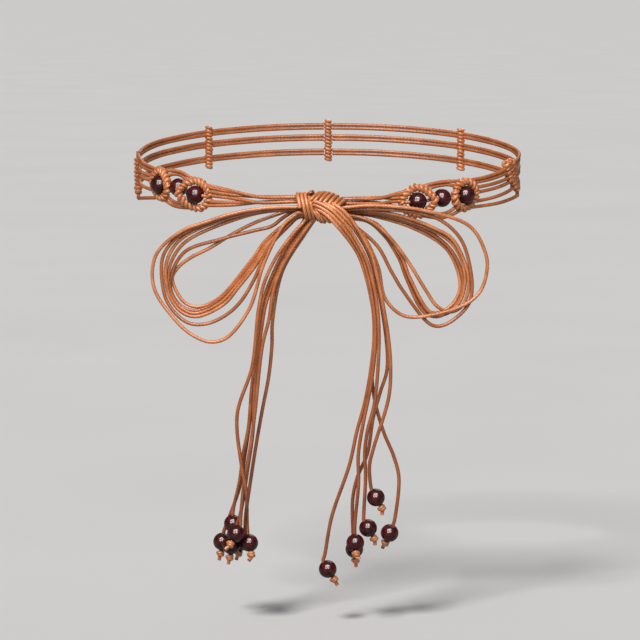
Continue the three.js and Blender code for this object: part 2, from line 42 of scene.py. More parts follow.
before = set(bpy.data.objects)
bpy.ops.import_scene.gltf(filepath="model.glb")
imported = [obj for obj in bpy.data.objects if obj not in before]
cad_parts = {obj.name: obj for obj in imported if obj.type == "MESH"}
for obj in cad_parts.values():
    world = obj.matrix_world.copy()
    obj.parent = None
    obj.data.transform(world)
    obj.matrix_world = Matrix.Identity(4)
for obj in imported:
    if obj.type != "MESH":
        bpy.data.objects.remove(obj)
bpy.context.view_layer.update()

MM = 0.001

# The camera stands where the photo was taken from
CAMERA_TARGET = (-6, -100, -93)
CAMERA_ELEVATION = 7
CAMERA_DISTANCE = 1800
CAMERA_LENS = 151.9

FLOOR_HEIGHT = -300
FLOOR_HALF = 120000

# Bow loops: the depth of the strand in the bundle, then its route in x and z from the knot and back
LEFT_LOOPS = (
    (-106.5, ((-21.8, -17), (-26.3, -17), (-42, -17.8), (-62, -21.2), (-82, -27.6), (-98, -33.8),
        (-115.3, -50), (-117, -71.5), (-102.5, -93.5), (-91.5, -103), (-79.5, -107.6), (-68.5, -104.8),
        (-53, -85), (-43, -54), (-30, -29), (-26, -22.2), (-21.8, -21.8))),
    (-104, ((-21.8, -17.4), (-26.3, -17.4), (-42, -18.4), (-62, -22.2), (-96.5, -35.2), (-106.5, -43.7),
        (-111.5, -54), (-109.2, -79), (-101, -90.8), (-92.5, -95.9), (-82, -95.8), (-70, -90.6),
        (-59.5, -81.3), (-50, -66), (-41, -46), (-26, -23.8), (-21.8, -23.4))),
    (-101.5, ((-21.8, -19.2), (-26.3, -19.2), (-42, -19.9), (-60, -23.2), (-92, -35.2), (-102.3, -43.2),
        (-108.3, -54.5), (-109.2, -67), (-105.5, -80.5), (-97.5, -89.3), (-88, -91.3), (-70, -82.6),
        (-60, -70.8), (-50.5, -58.8), (-42, -46), (-26, -25.2), (-21.8, -24.8))),
    (-99, ((-21.8, -19.6), (-26.3, -19.6), (-40, -20.6), (-55, -23.8), (-87, -36.2), (-98, -43.6),
        (-105, -54), (-107.8, -66.5), (-105.3, -77.5), (-99, -86), (-90, -89.6), (-73, -82.4),
        (-60, -68.5), (-50.5, -56.5), (-42, -44), (-26, -24.2), (-21.8, -23.8))),
    (-96.5, ((-21.8, -19.4), (-26.3, -19.4), (-31, -25.3), (-38, -30.6), (-50, -33.8), (-71.5, -39.5),
        (-97, -49), (-106.4, -67.5), (-105, -77.5), (-99, -85.2), (-90, -88), (-80, -84.9),
        (-68.5, -75.6), (-47, -49.4), (-36, -34.6), (-26, -26), (-21.8, -25.6))),
    (-94, ((-21.8, -18.6), (-26.3, -18.6), (-36, -23.5), (-49.5, -28.7), (-64.3, -36.3), (-79, -45.5),
        (-93.5, -53.2), (-101.5, -59.8), (-105.2, -67), (-98, -81.9), (-90, -85.6), (-82, -84.3),
        (-72, -78.2), (-50.5, -52), (-42, -40.3), (-26, -24.6), (-21.8, -24.2))),
)
RIGHT_LOOPS = (
    (-104.5, ((10.3, -17.5), (14.8, -17.5), (27, -16.2), (45, -17.2), (65, -20.3), (94, -31),
        (104.9, -51), (105, -63), (100.8, -74.5), (92, -82.3), (71, -89.2), (50, -89.9), (37.5, -78.5),
        (32.5, -57), (22.5, -36), (14.5, -23.4), (10.3, -23))),
    (-102, ((10.3, -19), (14.8, -19), (28, -18.8), (45, -19.7), (60, -21.8), (73, -26), (83.5, -34),
        (90.3, -44.5), (95.6, -71), (92.8, -84), (77.5, -96.6), (68.5, -96.6), (50, -74.5),
        (41.5, -60.5), (32, -43.3), (14.5, -24.9), (10.3, -24.5))),
    (-99.5, ((10.3, -18.6), (14.8, -18.6), (45, -23), (72, -33), (82.5, -39.8), (92.8, -62), (93, -75),
        (88.6, -85), (81, -88.4), (72.5, -84.6), (64.5, -73.4), (54.5, -57), (45, -43.5), (35, -32.5),
        (25, -25.8), (14.5, -22.8), (10.3, -22.4))),
    (-97, ((10.3, -21), (14.8, -21), (30, -21.9), (45, -24.6), (73, -35.8), (82.5, -43.3), (88.7, -54),
        (91.2, -67), (89, -79), (83.5, -87), (76, -90.5), (67.5, -88.4), (53.8, -65), (48, -50.8),
        (31, -28.8), (14.5, -25), (10.3, -24.6))),
    (-94.5, ((10.3, -20), (14.8, -20), (45, -26), (60, -31.6), (72, -38.4), (81.5, -47.2), (87.4, -58),
        (89.9, -70), (87, -81.5), (80, -89.1), (71, -92), (63, -88.2), (51.8, -66), (46, -51.2),
        (30, -30), (14.5, -24), (10.3, -23.6))),
    (-92, ((10.3, -21.8), (14.8, -21.8), (30, -24.3), (60, -34.3), (80, -48.4), (88.1, -71),
        (85.1, -81.2), (78.5, -87.6), (70.5, -89.7), (63, -86.1), (56.8, -75.7), (51.5, -61.5),
        (44.5, -47.7), (36, -36.5), (26, -28), (14.5, -25.8), (10.3, -25.4))),
)

# Free ends: the bead's place, the way it leans, then the cord's route from the knot to the bead
LEFT_TAILS = (
    ((-53.7, -98, -244.6), (0.16, -0.4, -0.9), ((-17, -103.5, -27.4), (-17.5, -103.6, -30),
        (-25, -104, -36.4), (-35, -104, -50.5), (-42.8, -104, -67), (-46.8, -104, -85),
        (-51.3, -104, -124), (-61.3, -104, -156), (-58.8, -104, -189), (-55.5, -104.1, -208),
        (-55.2, -94.4, -232))),
    ((-65, -89.5, -233), (0, 0.1, -1), ((-16, -98.4, -27.4), (-16.5, -98.3, -30), (-29.5, -96.5, -46.5),
        (-43.2, -96.5, -78), (-46.8, -96.5, -99), (-49, -96.5, -119), (-51.8, -96.5, -140),
        (-54, -96.5, -166), (-57.6, -96.4, -184), (-60.2, -95, -203), (-64.4, -90.3, -221.8))),
    ((-62.4, -104.8, -236.8), (-0.46, -0.38, -0.8), ((-12, -102.8, -27.4), (-12.5, -102.6, -30),
        (-25, -101.5, -46), (-32.5, -101.5, -60), (-37.4, -101.5, -75), (-39.9, -101.5, -92),
        (-44.4, -101.5, -110), (-49.5, -101.5, -155), (-53, -101.5, -181), (-56.6, -101.5, -200),
        (-59.3, -102.2, -226))),
    ((-65.9, -96.5, -246.7), (-0.15, 0, -1), ((-13.4, -99.8, -27.4), (-13.9, -99.6, -30),
        (-27, -99, -47), (-41.4, -99, -80), (-45.3, -99, -101), (-48, -99, -121), (-49.8, -99, -141),
        (-50.9, -99, -168), (-54.1, -98.9, -191), (-59.8, -98, -225.5), (-63.3, -97.4, -235.2))),
    ((-59, -83, -247), (-0.3, 0, -0.95), ((-10.4, -95.5, -27.4), (-10.9, -95.2, -30),
        (-16.3, -93, -36.4), (-31, -91.5, -61), (-37.7, -91.5, -94), (-38.3, -91.5, -112),
        (-40.4, -91.5, -132), (-44.8, -91.2, -155), (-48.9, -90.3, -178), (-52.2, -89, -199),
        (-56.6, -85, -230))),
    ((-72.6, -82, -247), (-0.15, 0, -0.99), ((-17, -95.4, -27.4), (-17.5, -95, -30), (-31, -94, -51),
        (-38.7, -94, -68), (-43.6, -94, -85), (-49, -94, -125), (-51, -94, -146), (-54.2, -93.4, -170),
        (-57.6, -90.3, -192), (-60.5, -86, -209), (-68.8, -82, -233))),
)
RIGHT_TAILS = (
    ((-0.8, -102, -261.7), (0.5, 0.05, -0.85), ((5.8, -110, -29.9), (7.6, -110, -31.9),
        (19.8, -104, -50), (28.8, -103, -83), (30, -103, -103), (28.4, -103, -122), (24.2, -103, -147),
        (18.6, -103, -168), (13.8, -103, -190), (1.8, -103, -226), (-2.7, -102, -251.5))),
    ((17.7, -105, -243.1), (0.05, -0.55, -0.83), ((7.65, -110, -28.2), (9.4, -110, -30.2),
        (22, -105.7, -50), (30, -105.5, -85), (31, -105.5, -103), (29.7, -105.5, -123),
        (27, -105.5, -141), (22.8, -105.5, -162), (19.6, -105.5, -183), (19.8, -105.5, -202),
        (17.4, -101.6, -231.5))),
    ((40.9, -98, -237.8), (-0.35, 0.35, -0.87), ((9.5, -107.5, -26.5), (11.2, -107, -28.5),
        (22.3, -99.3, -48.5), (27, -98, -64), (30.4, -98, -105), (28.6, -98, -126), (30.4, -98, -146),
        (36.5, -98, -168.5), (43.5, -98, -185.5), (47, -98.5, -200), (44.4, -100.5, -227))),
    ((26.3, -103, -233.4), (0.47, 0.05, -0.88), ((9.5, -110, -26.5), (11.3, -110, -28.5),
        (23.5, -108.3, -49), (29, -108, -66), (32.2, -108, -85), (33.2, -108, -106), (30.4, -108, -147),
        (25.6, -108, -167), (23.9, -107.5, -181), (24.5, -106.2, -197), (23.4, -103.4, -223.5))),
    ((17.2, -93.5, -249.8), (0.1, 0.2, -0.97), ((11.35, -110, -24.9), (13.1, -109.7, -26.8),
        (26, -102.2, -48), (34.8, -100.5, -83), (38.9, -100.5, -125), (34.3, -100.5, -141.5),
        (29.6, -100.5, -159), (25.8, -100.5, -183), (19.2, -100.4, -199), (16, -99.6, -214),
        (16.3, -95.5, -239.5))),
    ((31.4, -106, -212), (0.47, 0, -0.88), ((13.2, -110, -23.2), (14.9, -110, -25.2),
        (27.7, -110.5, -47), (32, -110.5, -63), (36, -110.5, -83), (39.4, -110.5, -104),
        (40.9, -110.5, -124), (39.6, -110.5, -144), (29.6, -110.5, -178), (27.1, -109.3, -189),
        (27.7, -106.5, -202.4))),
)

# The bow leans back by BOW_FALL at BOW_REACH from the middle
BOW_FALL = 13
BOW_REACH = 118

# Which way each stub leaves its stopper knot, where it doesn't follow the bead's lean
STUBS = {
    ("left", 1): (-0.6, -0.1, -0.8),
    ("left", 3): (-0.75, -0.3, -0.6),
    ("right", 2): (0.85, -0.2, -0.45),
    ("right", 4): (0.05, 0, -1),
    ("right", 6): (-0.17, 0, -0.98),
}
CUT_DARK = {("left", 1), ("left", 5), ("right", 3)}

# A stopper knot's route across, behind and down from where the cord leaves the bead
STOPPER = (
    (0, 0, 0), (1.0, -0.9, 0.4), (1.5, 0.6, 0.8), (0.3, 1.6, 1.0), (-1.5, 0.9, 1.3), (-1.4, -1.1, 1.7),
    (0.3, -1.8, 2.1), (1.6, -0.8, 2.5), (1.2, 1.0, 2.6), (-0.2, 1.3, 2.4), (-0.9, 0.2, 2.4),
    (-0.1, -0.3, 3.4),
)
STOPPER_DROP = 0.5
STOPPER_STUB = 3.2
STOPPER_STEP = 0.55

# How much of a free end's own cord runs on below its bead
PAST_BEAD = 2.8

# A bead's rows and columns of faces, and how its bore's edge is eased
BEAD_ROWS = 22
BEAD_COLUMNS = 36
BORE_EDGE = 0.35
BORE_LIP = (0.1, 0.05)

# The waist
WAIST_HALF_WIDTH = 133
WAIST_HALF_DEPTH = 93
FRONT_DROP = 16
WAIST_DIVISIONS = 720

# The bow knot
WRAP_RADIUS = 8.7
WRAP_TURNS = 4
WRAP_STEPS = 40
WRAP_PITCH = 2.5
WRAP_LEAN = 0.275
WRAP_MIDDLE = (-14, -99.8, -17.3)
WRAP_ROOM = 6.2
HEARTS = (
    ((-19, -99, -18.6), (-6, -99.5, -18.4), (9, -99, -18.8)),
    ((-10.5, -99.6, -14.4), (-2, -99.6, -14.4), (3.5, -99.6, -16.2), (7.6, -99.6, -18.6)),
)
HEART_SIZE = 12.2

# The right ends whose route starts at this depth come over the knot's front, the lowest first
OVER_DEPTH = -110
OVER_STRANDS = (
    ((-12.5, -104.5, -17.4), (-6.4, -108.8, -19), (-0.4, -110, -23.1)),
    ((-13, -105, -15.2), (-8.3, -108.6, -15.9), (-3, -110.2, -18.6), (2.4, -110.2, -22.6)),
    ((-13, -105.5, -13), (-8.4, -108.8, -13.4), (-2.6, -110.4, -15.9), (3.2, -110.6, -19.8)),
    ((-5.5, -105, -12.8), (-2.4, -108, -14.6), (2.2, -110.2, -16.9), (7, -110.4, -20.3)),
    ((0.5, -104.5, -13.6), (3, -107.9, -15), (6.2, -109.8, -16.8), (9.8, -110.2, -19.6)),
)

# Each strand wound over the knot's right half: x and z where it comes out and where it passes the top
TOP_STRANDS = (
    ((-12, -11.8), (-7.2, -8.4)), ((-9.3, -12.5), (-4.4, -8.2)), ((-6.5, -13.5), (-1.6, -8.6)),
    ((-3.8, -14.3), (1.2, -9.4)), ((-0.5, -15.2), (4, -10.6)), ((2.3, -16.3), (6.6, -12.2)),
    ((4.8, -17.1), (8.9, -14)),
)
LOOSE_STRANDS = (
    ((-13, -105.5, -17.6), (-9.8, -108.4, -20.4), (-6.4, -107.6, -25.2), (-5, -103, -27)),
    ((-10.6, -106, -17.8), (-7.4, -108.6, -21.2), (-4.2, -107.2, -26), (-3, -102, -27.3)),
    ((-8, -105, -20.2), (-4.5, -107.2, -22.4), (-0.5, -106.8, -26.2), (1, -102, -27)),
    ((0, -105, -22), (4.5, -107.3, -22.5), (7.9, -107.5, -24.7), (9.5, -107.5, -26.5)),
)
CURL = ((-13.4, -103, -10), (-12.8, -105.6, -8), (-11, -104.8, -7), (-10.5, -103, -9.4))

# The nets on both sides of the knot. A bead has its distance from the belt's middle and its height. Each of
# a bar's rows of hitches has how far past the bar it stands, its top and its bottom
NETS = {
    "left": {
        "side": -1, "face": -21.8, "entry": -11.3, "inner": (94, 0.2), "middle": (111, 2.5),
        "outer": (128, 1.6), "bar_top": 177, "bar_bottom": 177, "lowest": -18,
        "fan": ((0.5, 0.5),), "bar_rows": ((0, 8, -14.5),),
    },
    "right": {
        "side": 1, "face": 10.3, "entry": -12.4, "inner": (60, -0.7), "middle": (79.5, -0.4),
        "outer": (97, -0.4), "bar_top": 147, "bar_bottom": 163, "lowest": -13,
        "fan": ((0.4, 0.05), (0.76, 0.36)), "bar_rows": ((-9, 13.5, 2), (-4.6, 14, -4.5), (0, 12.5, -8)),
    },
}
BEAD_OUT = {"inner": 1, "middle": -2, "outer": 0.5}

# The six cords that run from the knot to a net: row, column and where each meets the inner frame
GATHERED = (
    (0, 0, (-3.6, 8)), (0, 1, (-6.4, 6.4)), (0, 2, (-9.4, 3.4)),
    (1, 0, (-10.4, 0.8)), (1, 1, (-9, -3.6)), (1, 2, (-5.8, -6.6)),
)
BUNDLE_PITCH = 2.5
ROW_PITCH = 3
SPREAD_PITCH = 3.7
BUNDLE_FRONT = -97
BUNDLE_LENGTH = 24
BUNDLE_START = 4
SPREAD_TOP = 3.4
FRAME_LENGTH = 10.4
FRAME_HEIGHT = 9.2
FRAME_OUT = -1
FRAME_BULGE = 0.66
FRAMES = {"inner": {"far_out": 6}, "outer": {"near": 9.9, "near_out": 1.6}}
BAR_HEIGHT = 28
BAR_ENDS = (BAR_HEIGHT / 2, -BAR_HEIGHT / 2)
BAR_CLEARANCE = 3.05
BAR_PITCH = 2.5
BAR_STEPS = 14
BAR_SLANT = 0.3

# The cords from the outer frame to the side bar: the height at the bar and where each leaves the frame
FAN = ((12, (1, 9.2)), (8.5, (6, 7)), (3.5, (9.4, 3.4)), (0.5, (10.4, 0)), (-5, (6.8, -6)))

# How far above and below the middle bead the two cords that pass it run
PASSING = {1: (10.8, 8.5), -1: (12.9, 10.4)}

# The back's pairs of cords, and how far each cord of a pair lies from the pair's middle
BACK_PAIRS = (10.2, 2, -8.5)
BACK_SPREAD = 1.25
BACK_STATIONS = 12
BACK_SWAY = 0.4

# How light each kind of cord is. Free ends grow darker downwards from the knot. The knot's heart is dark as
# painted shade for the inside of the knot
TONES = {
    "plain": 0.62, "wrap": 0.74, "into_wrap": 0.56, "over": 0.74, "top": 0.72, "loose": 0.64, "curl": 0.36,
    "heart": 0.2, "frame": 0.66, "bar": 0.64, "back": 0.58, "stopper": 0.68, "loop": 0.64, "free_end": 0.64,
}
LOOP_TONE_SPREAD = 0.08
FREE_END_DARKENING = 0.22
FREE_END_TOP = -45
FREE_END_FALL = 190
CUT_TONES = (0.5, 0.1, 0.0)

# How the patterns of the cord's and the wood's surface are drawn out, and what they do to the tone
FIBRE_SCALE = (2.6, 2.6, 160.0)
FIBRE_TONE = 0.42
PATCH_SCALE = 95.0
PATCH_TONE = 0.36
# How much the creases between the cord's strands are darkened: painted shade
PAINTED_CREASE_SHADE = 0.06
BAND_SCALE = (420.0, 420.0, 90.0)
PORE_SCALE = (2400.0, 2400.0, 300.0)

# Lights: sizes and distances in metres, powers in watts, angles in degrees
SOFT_BOXES = (
    {"name": "left_box", "size": (0.6, 1.4), "power": 29, "wood_power": 240, "colour": (1.0, 0.86, 0.82),
     "azimuth": -18},
    {"name": "right_box", "size": (0.44, 1.2), "power": 21, "wood_power": 195, "colour": (1.0, 0.99, 0.98),
     "azimuth": 12},
)
BOX_PLACE = {"elevation": 38, "distance": 1.7, "roll": -14}
WOOD_BOX_SPREAD = 1.25
BACK_BOX = {"size": (1.2, 1.2), "power": 16, "colour": (1.0, 0.98, 0.96)}
BACK_BOX_PLACE = {"azimuth": 165, "elevation": 35, "distance": 2.2}
SUN_STRENGTH = 2.1
SUN_WIDTH = 16
SUN_COLOUR = (1.0, 0.98, 0.95)
SUN_PLACE = {"azimuth": -34, "elevation": 50, "distance": 3}
SKY_COLOUR = (0.95, 0.96, 1.0, 1)
SKY_STRENGTH = 0.2
SKY_SEEN = 0.44


def size_property(name, description, default):
    """A size in metres."""
    return bpy.props.FloatProperty(name=name, description=description, default=default, unit="LENGTH")


def colour_property(name, description, default):
    """A colour."""
    return bpy.props.FloatVectorProperty(name=name, description=description, default=default,
                                         subtype="COLOR")


class BeltSizes(bpy.types.PropertyGroup):
    """Sizes shared by the pieces."""

    cord: size_property("Cord", "Diameter of every cord", 0.0026)
    twist: size_property("Twist", "Length of one turn of the cord's strands", 0.0078)
    groove: bpy.props.FloatProperty(
        name="Groove", description="How deep the cord's strands are parted", default=0.03, subtype="FACTOR")
    tail_bead: size_property("Tail bead", "Diameter of a bead on a free end", 0.012)
    net_bead: size_property("Net bead", "Diameter of a bead in the net", 0.0124)
    bore: size_property("Bore", "Diameter of the hole through a bead", 0.003)
    hitch: size_property("Hitch", "Distance between two hitches on a cord", 0.0033)
    hitch_width: size_property("Hitch width", "Thickness of a row of hitches", 0.0059)


class BeltColours(bpy.types.PropertyGroup):
    """Colours shared by the pieces."""

    # The darkest cord colour: the fused cut tips' own dark, and painted shade in the knot's heart and in the
    # creases between strands
    cord_shade_and_cut_tip: colour_property("Cord creases", "Colour between strands", (0.050, 0.009, 0.002))
    cord_dark: colour_property("Cord dark", "Colour of dark cord", (0.120, 0.026, 0.0055))
    cord_middle: colour_property("Cord", "Colour of most cords", (0.265, 0.080, 0.0215))
    cord_light: colour_property("Cord light", "Colour of rubbed cord", (0.62, 0.275, 0.12))
    bead_dark: colour_property("Bead dark", "Colour of most of the wood", (0.0009, 0.0001, 0.0002))
    bead_red: colour_property("Bead red", "Colour of the wood's red grain", (0.012, 0.0005, 0.0007))
    floor: colour_property("Floor", "Colour of the floor", (0.92, 0.917, 0.912))


class Wire:
    """One output of a node. Arithmetic on it adds Math nodes, or Vector Math nodes where it is a vector."""

    def __init__(self, graph, socket):
        self.graph = graph
        self.socket = socket

    def _join(self, operation, other, swapped=False):
        vector = "VECTOR" in (self.socket.type, getattr(getattr(other, "socket", None), "type", None))
        if vector and isinstance(other, (int, float)):
            other = (other, other, other)
        kind = "ShaderNodeVectorMath" if vector else "ShaderNodeMath"
        first, second = (other, self) if swapped else (self, other)
        return self.graph.add(kind, {"operation": operation}, {0: first, 1: second})

    def __add__(self, other):
        return self._join("ADD", other)

    def __radd__(self, other):
        return self._join("ADD", other, swapped=True)

    def __sub__(self, other):
        return self._join("SUBTRACT", other)

    def __rsub__(self, other):
        return self._join("SUBTRACT", other, swapped=True)

    def __mul__(self, other):
        return self._join("MULTIPLY", other)

    def __truediv__(self, other):
        return self._join("DIVIDE", other)

    def __rtruediv__(self, other):
        return self._join("DIVIDE", other, swapped=True)

    def cosine(self):
        """The cosine of this value."""
        return self.graph.add("ShaderNodeMath", {"operation": "COSINE"}, {0: self})

    def sine(self):
        """The sine of this value."""
        return self.graph.add("ShaderNodeMath", {"operation": "SINE"}, {0: self})

    def eased(self, low, high):
        """From 0 at low to 1 at high, eased at both ends."""
        inputs = {"Value": self, "From Min": low, "From Max": high}
        return self.graph.add("ShaderNodeMapRange", {"interpolation_type": "SMOOTHSTEP"}, inputs)


class Graph:
    """A node tree that is being filled."""

    def __init__(self, tree):
        self.tree = tree

    def add(self, kind, settings=None, inputs=None, output=0):
        """Adds a node, sets it up, feeds its inputs and gives one of its outputs."""
        node = self.tree.nodes.new(kind)
        for name, value in (settings or {}).items():
            setattr(node, name, value)
        for key, value in (inputs or {}).items():
            self.feed(self.pick(node.inputs, key), value)
        return Wire(self, self.pick(node.outputs, output))

    @staticmethod
    def pick(sockets, key):
        """The socket at that place, or the one in use that has that name."""
        if isinstance(key, int):
            return sockets[key]
        return next(socket for socket in sockets if socket.name == key and socket.enabled)

    def feed(self, socket, value):
        """Links a wire, or several, to a socket, or sets its value."""
        for one in value if isinstance(value, list) else [value]:
            if isinstance(one, Wire):
                self.tree.links.new(one.socket, socket)
            else:
                socket.default_value = one

    def combined(self, x, y, z):
        """A vector out of three numbers."""
        return self.add("ShaderNodeCombineXYZ", None, {0: x, 1: y, 2: z})

    def noise(self, vector, scale, detail=2.0, roughness=0.5):
        """Noise from 0 to 1 at a place."""
        inputs = {"Vector": vector, "Scale": scale, "Detail": detail, "Roughness": roughness}
        return self.add("ShaderNodeTexNoise", None, inputs, "Fac")

    def ramp(self, factor, stops):
        """A colour out of stops, each a place from 0 to 1 and a colour."""
        wire = self.add("ShaderNodeValToRGB", None, {"Fac": factor})
        elements = wire.socket.node.color_ramp.elements
        while len(elements) < len(stops):
            elements.new(0.5)
        for element, (place, colour) in zip(elements, stops):
            element.position = place
            element.color = (*colour, 1)
        return wire


def shader(name, build):
    """A material whose Principled BSDF is fed by build."""
    material = bpy.data.materials.new(name)
    material.use_nodes = True
    graph = Graph(material.node_tree)
    surface = material.node_tree.nodes["Principled BSDF"]
    for key, value in build(graph).items():
        graph.feed(surface.inputs[key], value)
    return material


def attribute(graph, name, output="Fac"):
    """A value stored on the mesh."""
    return graph.add("ShaderNodeAttribute", {"attribute_name": name}, None, output)


def cord_material():
    """Waxed cotton: fibres along the strands, painted shade darkening the creases between them, worn and
    soaked patches.
    """
    colours = bpy.context.scene.belt_colours

    def build(graph):
        lay = attribute(graph, "lay", "Vector")
        tone = attribute(graph, "tone")
        groove = attribute(graph, "groove")
        place = graph.add("ShaderNodeTexCoord", None, None, "Object")
        fibres = graph.noise(lay * FIBRE_SCALE, 1.0, 3.0)
        patches = graph.noise(place, PATCH_SCALE, 2.0)
        worn = tone + (fibres - 0.5) * FIBRE_TONE + (patches - 0.5) * PATCH_TONE
        # The creases between strands are darkened here: painted shade
        value = worn - (1 - groove.eased(-0.9, 0.4)) * PAINTED_CREASE_SHADE
        stops = (
            (0.0, colours.cord_shade_and_cut_tip), (0.3, colours.cord_dark), (0.6, colours.cord_middle),
            (1.0, colours.cord_light),
        )
        height = groove * 0.14 + fibres * 0.5
        bump = graph.add("ShaderNodeBump", None, {"Height": height, "Strength": 0.4, "Distance": 0.00025})
        return {
            "Base Color": graph.ramp(value, stops),
            "Roughness": 0.3 + (fibres - 0.5) * 0.2,
            "Normal": bump,
            "Specular IOR Level": 0.55,
        }

    return shader("waxed cord", build)


def bead_material():
    """Dark polished wood with a little red grain."""
    colours = bpy.context.scene.belt_colours

    def build(graph):
        grain_place = attribute(graph, "grain", "Vector")
        bands = graph.noise(grain_place * BAND_SCALE, 1.0, 3.0, 0.6)
        pores = graph.noise(grain_place * PORE_SCALE, 1.0, 2.0)
        value = bands * 0.8 + pores * 0.25
        stops = ((0.42, colours.bead_dark), (0.74, colours.bead_red))
        bump = graph.add("ShaderNodeBump", None, {"Height": pores, "Strength": 0.06, "Distance": 0.0002})
        facing = graph.add("ShaderNodeLayerWeight", None, {"Blend": 0.5}, "Facing")
        return {
            "Base Color": graph.ramp(value, stops),
            "Roughness": 0.35 + pores * 0.12,
            "Normal": bump,
            "Specular IOR Level": 0.03,
            "Coat Weight": 1 - facing.eased(0.35, 0.85) * 0.92,
            "Coat Roughness": 0.06,
            "Coat IOR": 1.28,
        }

    return shader("polished wood", build)


def floor_material():
    """A plain pale floor."""
    colours = bpy.context.scene.belt_colours

    def build(graph):
        place = graph.add("ShaderNodeTexCoord", None, None, "Object")
        shade = graph.noise(place, 3.0, 2.0)
        pale = tuple(0.97 * channel for channel in colours.floor)
        stops = ((0.3, pale), (0.7, colours.floor))
        return {"Base Color": graph.ramp(shade, stops), "Roughness": 0.75, "Specular IOR Level": 0.2}

    return shader("pale floor", build)


def made_once(make):
    """The material or node tree that make gives, made once."""
    key = make.__name__
    if key not in MADE:
        MADE[key] = make()
    return MADE[key]


MADE = {}


def new_tree(name, inputs):
    """A geometry node tree with a geometry input and output and the named inputs."""
    tree = bpy.data.node_groups.new(name, "GeometryNodeTree")
    tree.interface.new_socket("Geometry", in_out="INPUT", socket_type="NodeSocketGeometry")
    for label, kind in inputs.items():
        tree.interface.new_socket(label, in_out="INPUT", socket_type=f"NodeSocket{kind}")
    tree.interface.new_socket("Geometry", in_out="OUTPUT", socket_type="NodeSocketGeometry")
    graph = Graph(tree)
    source = tree.nodes.new("NodeGroupInput")
    return graph, {label: Wire(graph, source.outputs[label]) for label in ("Geometry", *inputs)}


def stored(graph, geometry, name, value, data_type="FLOAT"):
    """The geometry with a value kept on its points under a name."""
    inputs = {"Geometry": geometry, "Name": name, "Value": value}
    return graph.add("GeometryNodeStoreNamedAttribute", {"data_type": data_type}, inputs)


def kept(graph, name, data_type="FLOAT"):
    """The value kept under a name."""
    return graph.add("GeometryNodeInputNamedAttribute", {"data_type": data_type}, {"Name": name}, "Attribute")


def close_tree(graph, geometry, material):
    """Ends the tree in plain smooth faces with their material."""
    smooth = graph.add("GeometryNodeSetShadeSmooth", None, {0: geometry})
    real = graph.add("GeometryNodeRealizeInstances", None, {"Geometry": smooth})
    done = graph.add("GeometryNodeSetMaterial", None, {"Geometry": real, "Material": material})
    end = graph.tree.nodes.new("NodeGroupOutput")
    graph.feed(end.inputs[0], done)
    return graph.tree


def twisted_skin(graph, curve, diameter, sides, lobes, depth, turn):
    """A tube along a curve whose lobed section turns, with what the cord's material reads on it."""
    size = {"Resolution": sides, "Radius": diameter * 0.5}
    circle = graph.add("GeometryNodeCurvePrimitiveCircle", None, size)
    angle = graph.add("GeometryNodeInputIndex") * (2 * math.pi) / sides
    lobe = (angle * lobes).cosine()
    place = graph.add("GeometryNodeInputPosition")
    shaped = graph.add("GeometryNodeSetPosition", None, {
        "Geometry": circle, "Position": place * graph.combined(
            1 - (1 - lobe) * 0.5 * depth, 1 - (1 - lobe) * 0.5 * depth, 1.0)})
    section = stored(graph, stored(graph, shaped, "angle", angle), "groove", lobe)
    along = graph.add("GeometryNodeSplineParameter", None, None, "Length")
    measured = stored(graph, curve, "along", along)
    turned = graph.add("GeometryNodeSetCurveTilt", None, {"Curve": measured, "Tilt": along * turn})
    inputs = {"Curve": turned, "Profile Curve": section, "Fill Caps": True}
    tube = graph.add("GeometryNodeCurveToMesh", None, inputs)
    level = kept(graph, "angle") + kept(graph, "along") * turn
    lay = graph.combined(level.cosine(), level.sine(), kept(graph, "along"))
    return stored(graph, tube, "lay", lay, "FLOAT_VECTOR")


def lay_cord_tree():
    """Three-strand cord along every line of its input."""
    inputs = {"Diameter": "Float", "Twist": "Float", "Groove": "Float", "Sides": "Int",
              "Material": "Material"}
    graph, given = new_tree("lay cord", inputs)
    curve = graph.add("GeometryNodeMeshToCurve", None, {"Mesh": given["Geometry"]})
    tube = twisted_skin(graph, curve, given["Diameter"], given["Sides"], 3, given["Groove"],
                        2 * math.pi / given["Twist"])
    return close_tree(graph, tube, given["Material"])


def hitch_row_tree():
    """A row of slanted hitches on a core along every line of its input, each with its own way out."""
    inputs = {"Pitch": "Float", "Width": "Float", "Strand": "Float", "Slant": "Float", "Seed": "Int",
              "Material": "Material"}
    graph, given = new_tree("hitch row", inputs)
    line = graph.add("GeometryNodeMeshToCurve", None, {"Mesh": given["Geometry"]})
    radius = (given["Width"] - given["Strand"]) * 0.5
    turn = graph.add("GeometryNodeCurvePrimitiveCircle", None, {"Resolution": 12, "Radius": radius})
    place = graph.add("GeometryNodeInputPosition")
    apart = graph.add("ShaderNodeSeparateXYZ", None, {0: place}, "Y")
    leaning = graph.add("GeometryNodeSetPosition", None, {
        "Geometry": turn, "Offset": graph.combined(0.0, 0.0, apart * given["Slant"])})
    hitch = twisted_skin(graph, leaning, given["Strand"], 8, 1, 0.0, 0.0)
    spacing = {"Curve": line, "Length": given["Pitch"]}
    points = graph.add("GeometryNodeResampleCurve", {"mode": "LENGTH"}, spacing)
    tangent = graph.add("GeometryNodeInputTangent")
    outwards = kept(graph, "out", "FLOAT_VECTOR")
    aim = graph.add("FunctionNodeAxesToRotation", {"primary_axis": "Z", "secondary_axis": "X"},
                    {"Primary Axis": tangent, "Secondary Axis": outwards})
    spread = graph.add("FunctionNodeRandomValue", {"data_type": "FLOAT_VECTOR"},
                       {"Min": (0.9, 0.9, 0.8), "Max": (1.12, 1.12, 1.25), "Seed": given["Seed"]}, "Value")
    row = graph.add("GeometryNodeInstanceOnPoints", None, {
        "Points": points, "Instance": hitch, "Rotation": aim, "Scale": spread})
    core = twisted_skin(graph, line, given["Width"] * 0.62, 8, 1, 0.0, 0.0)
    both = graph.add("GeometryNodeJoinGeometry", None, {"Geometry": [row, core]})
    return close_tree(graph, both, given["Material"])


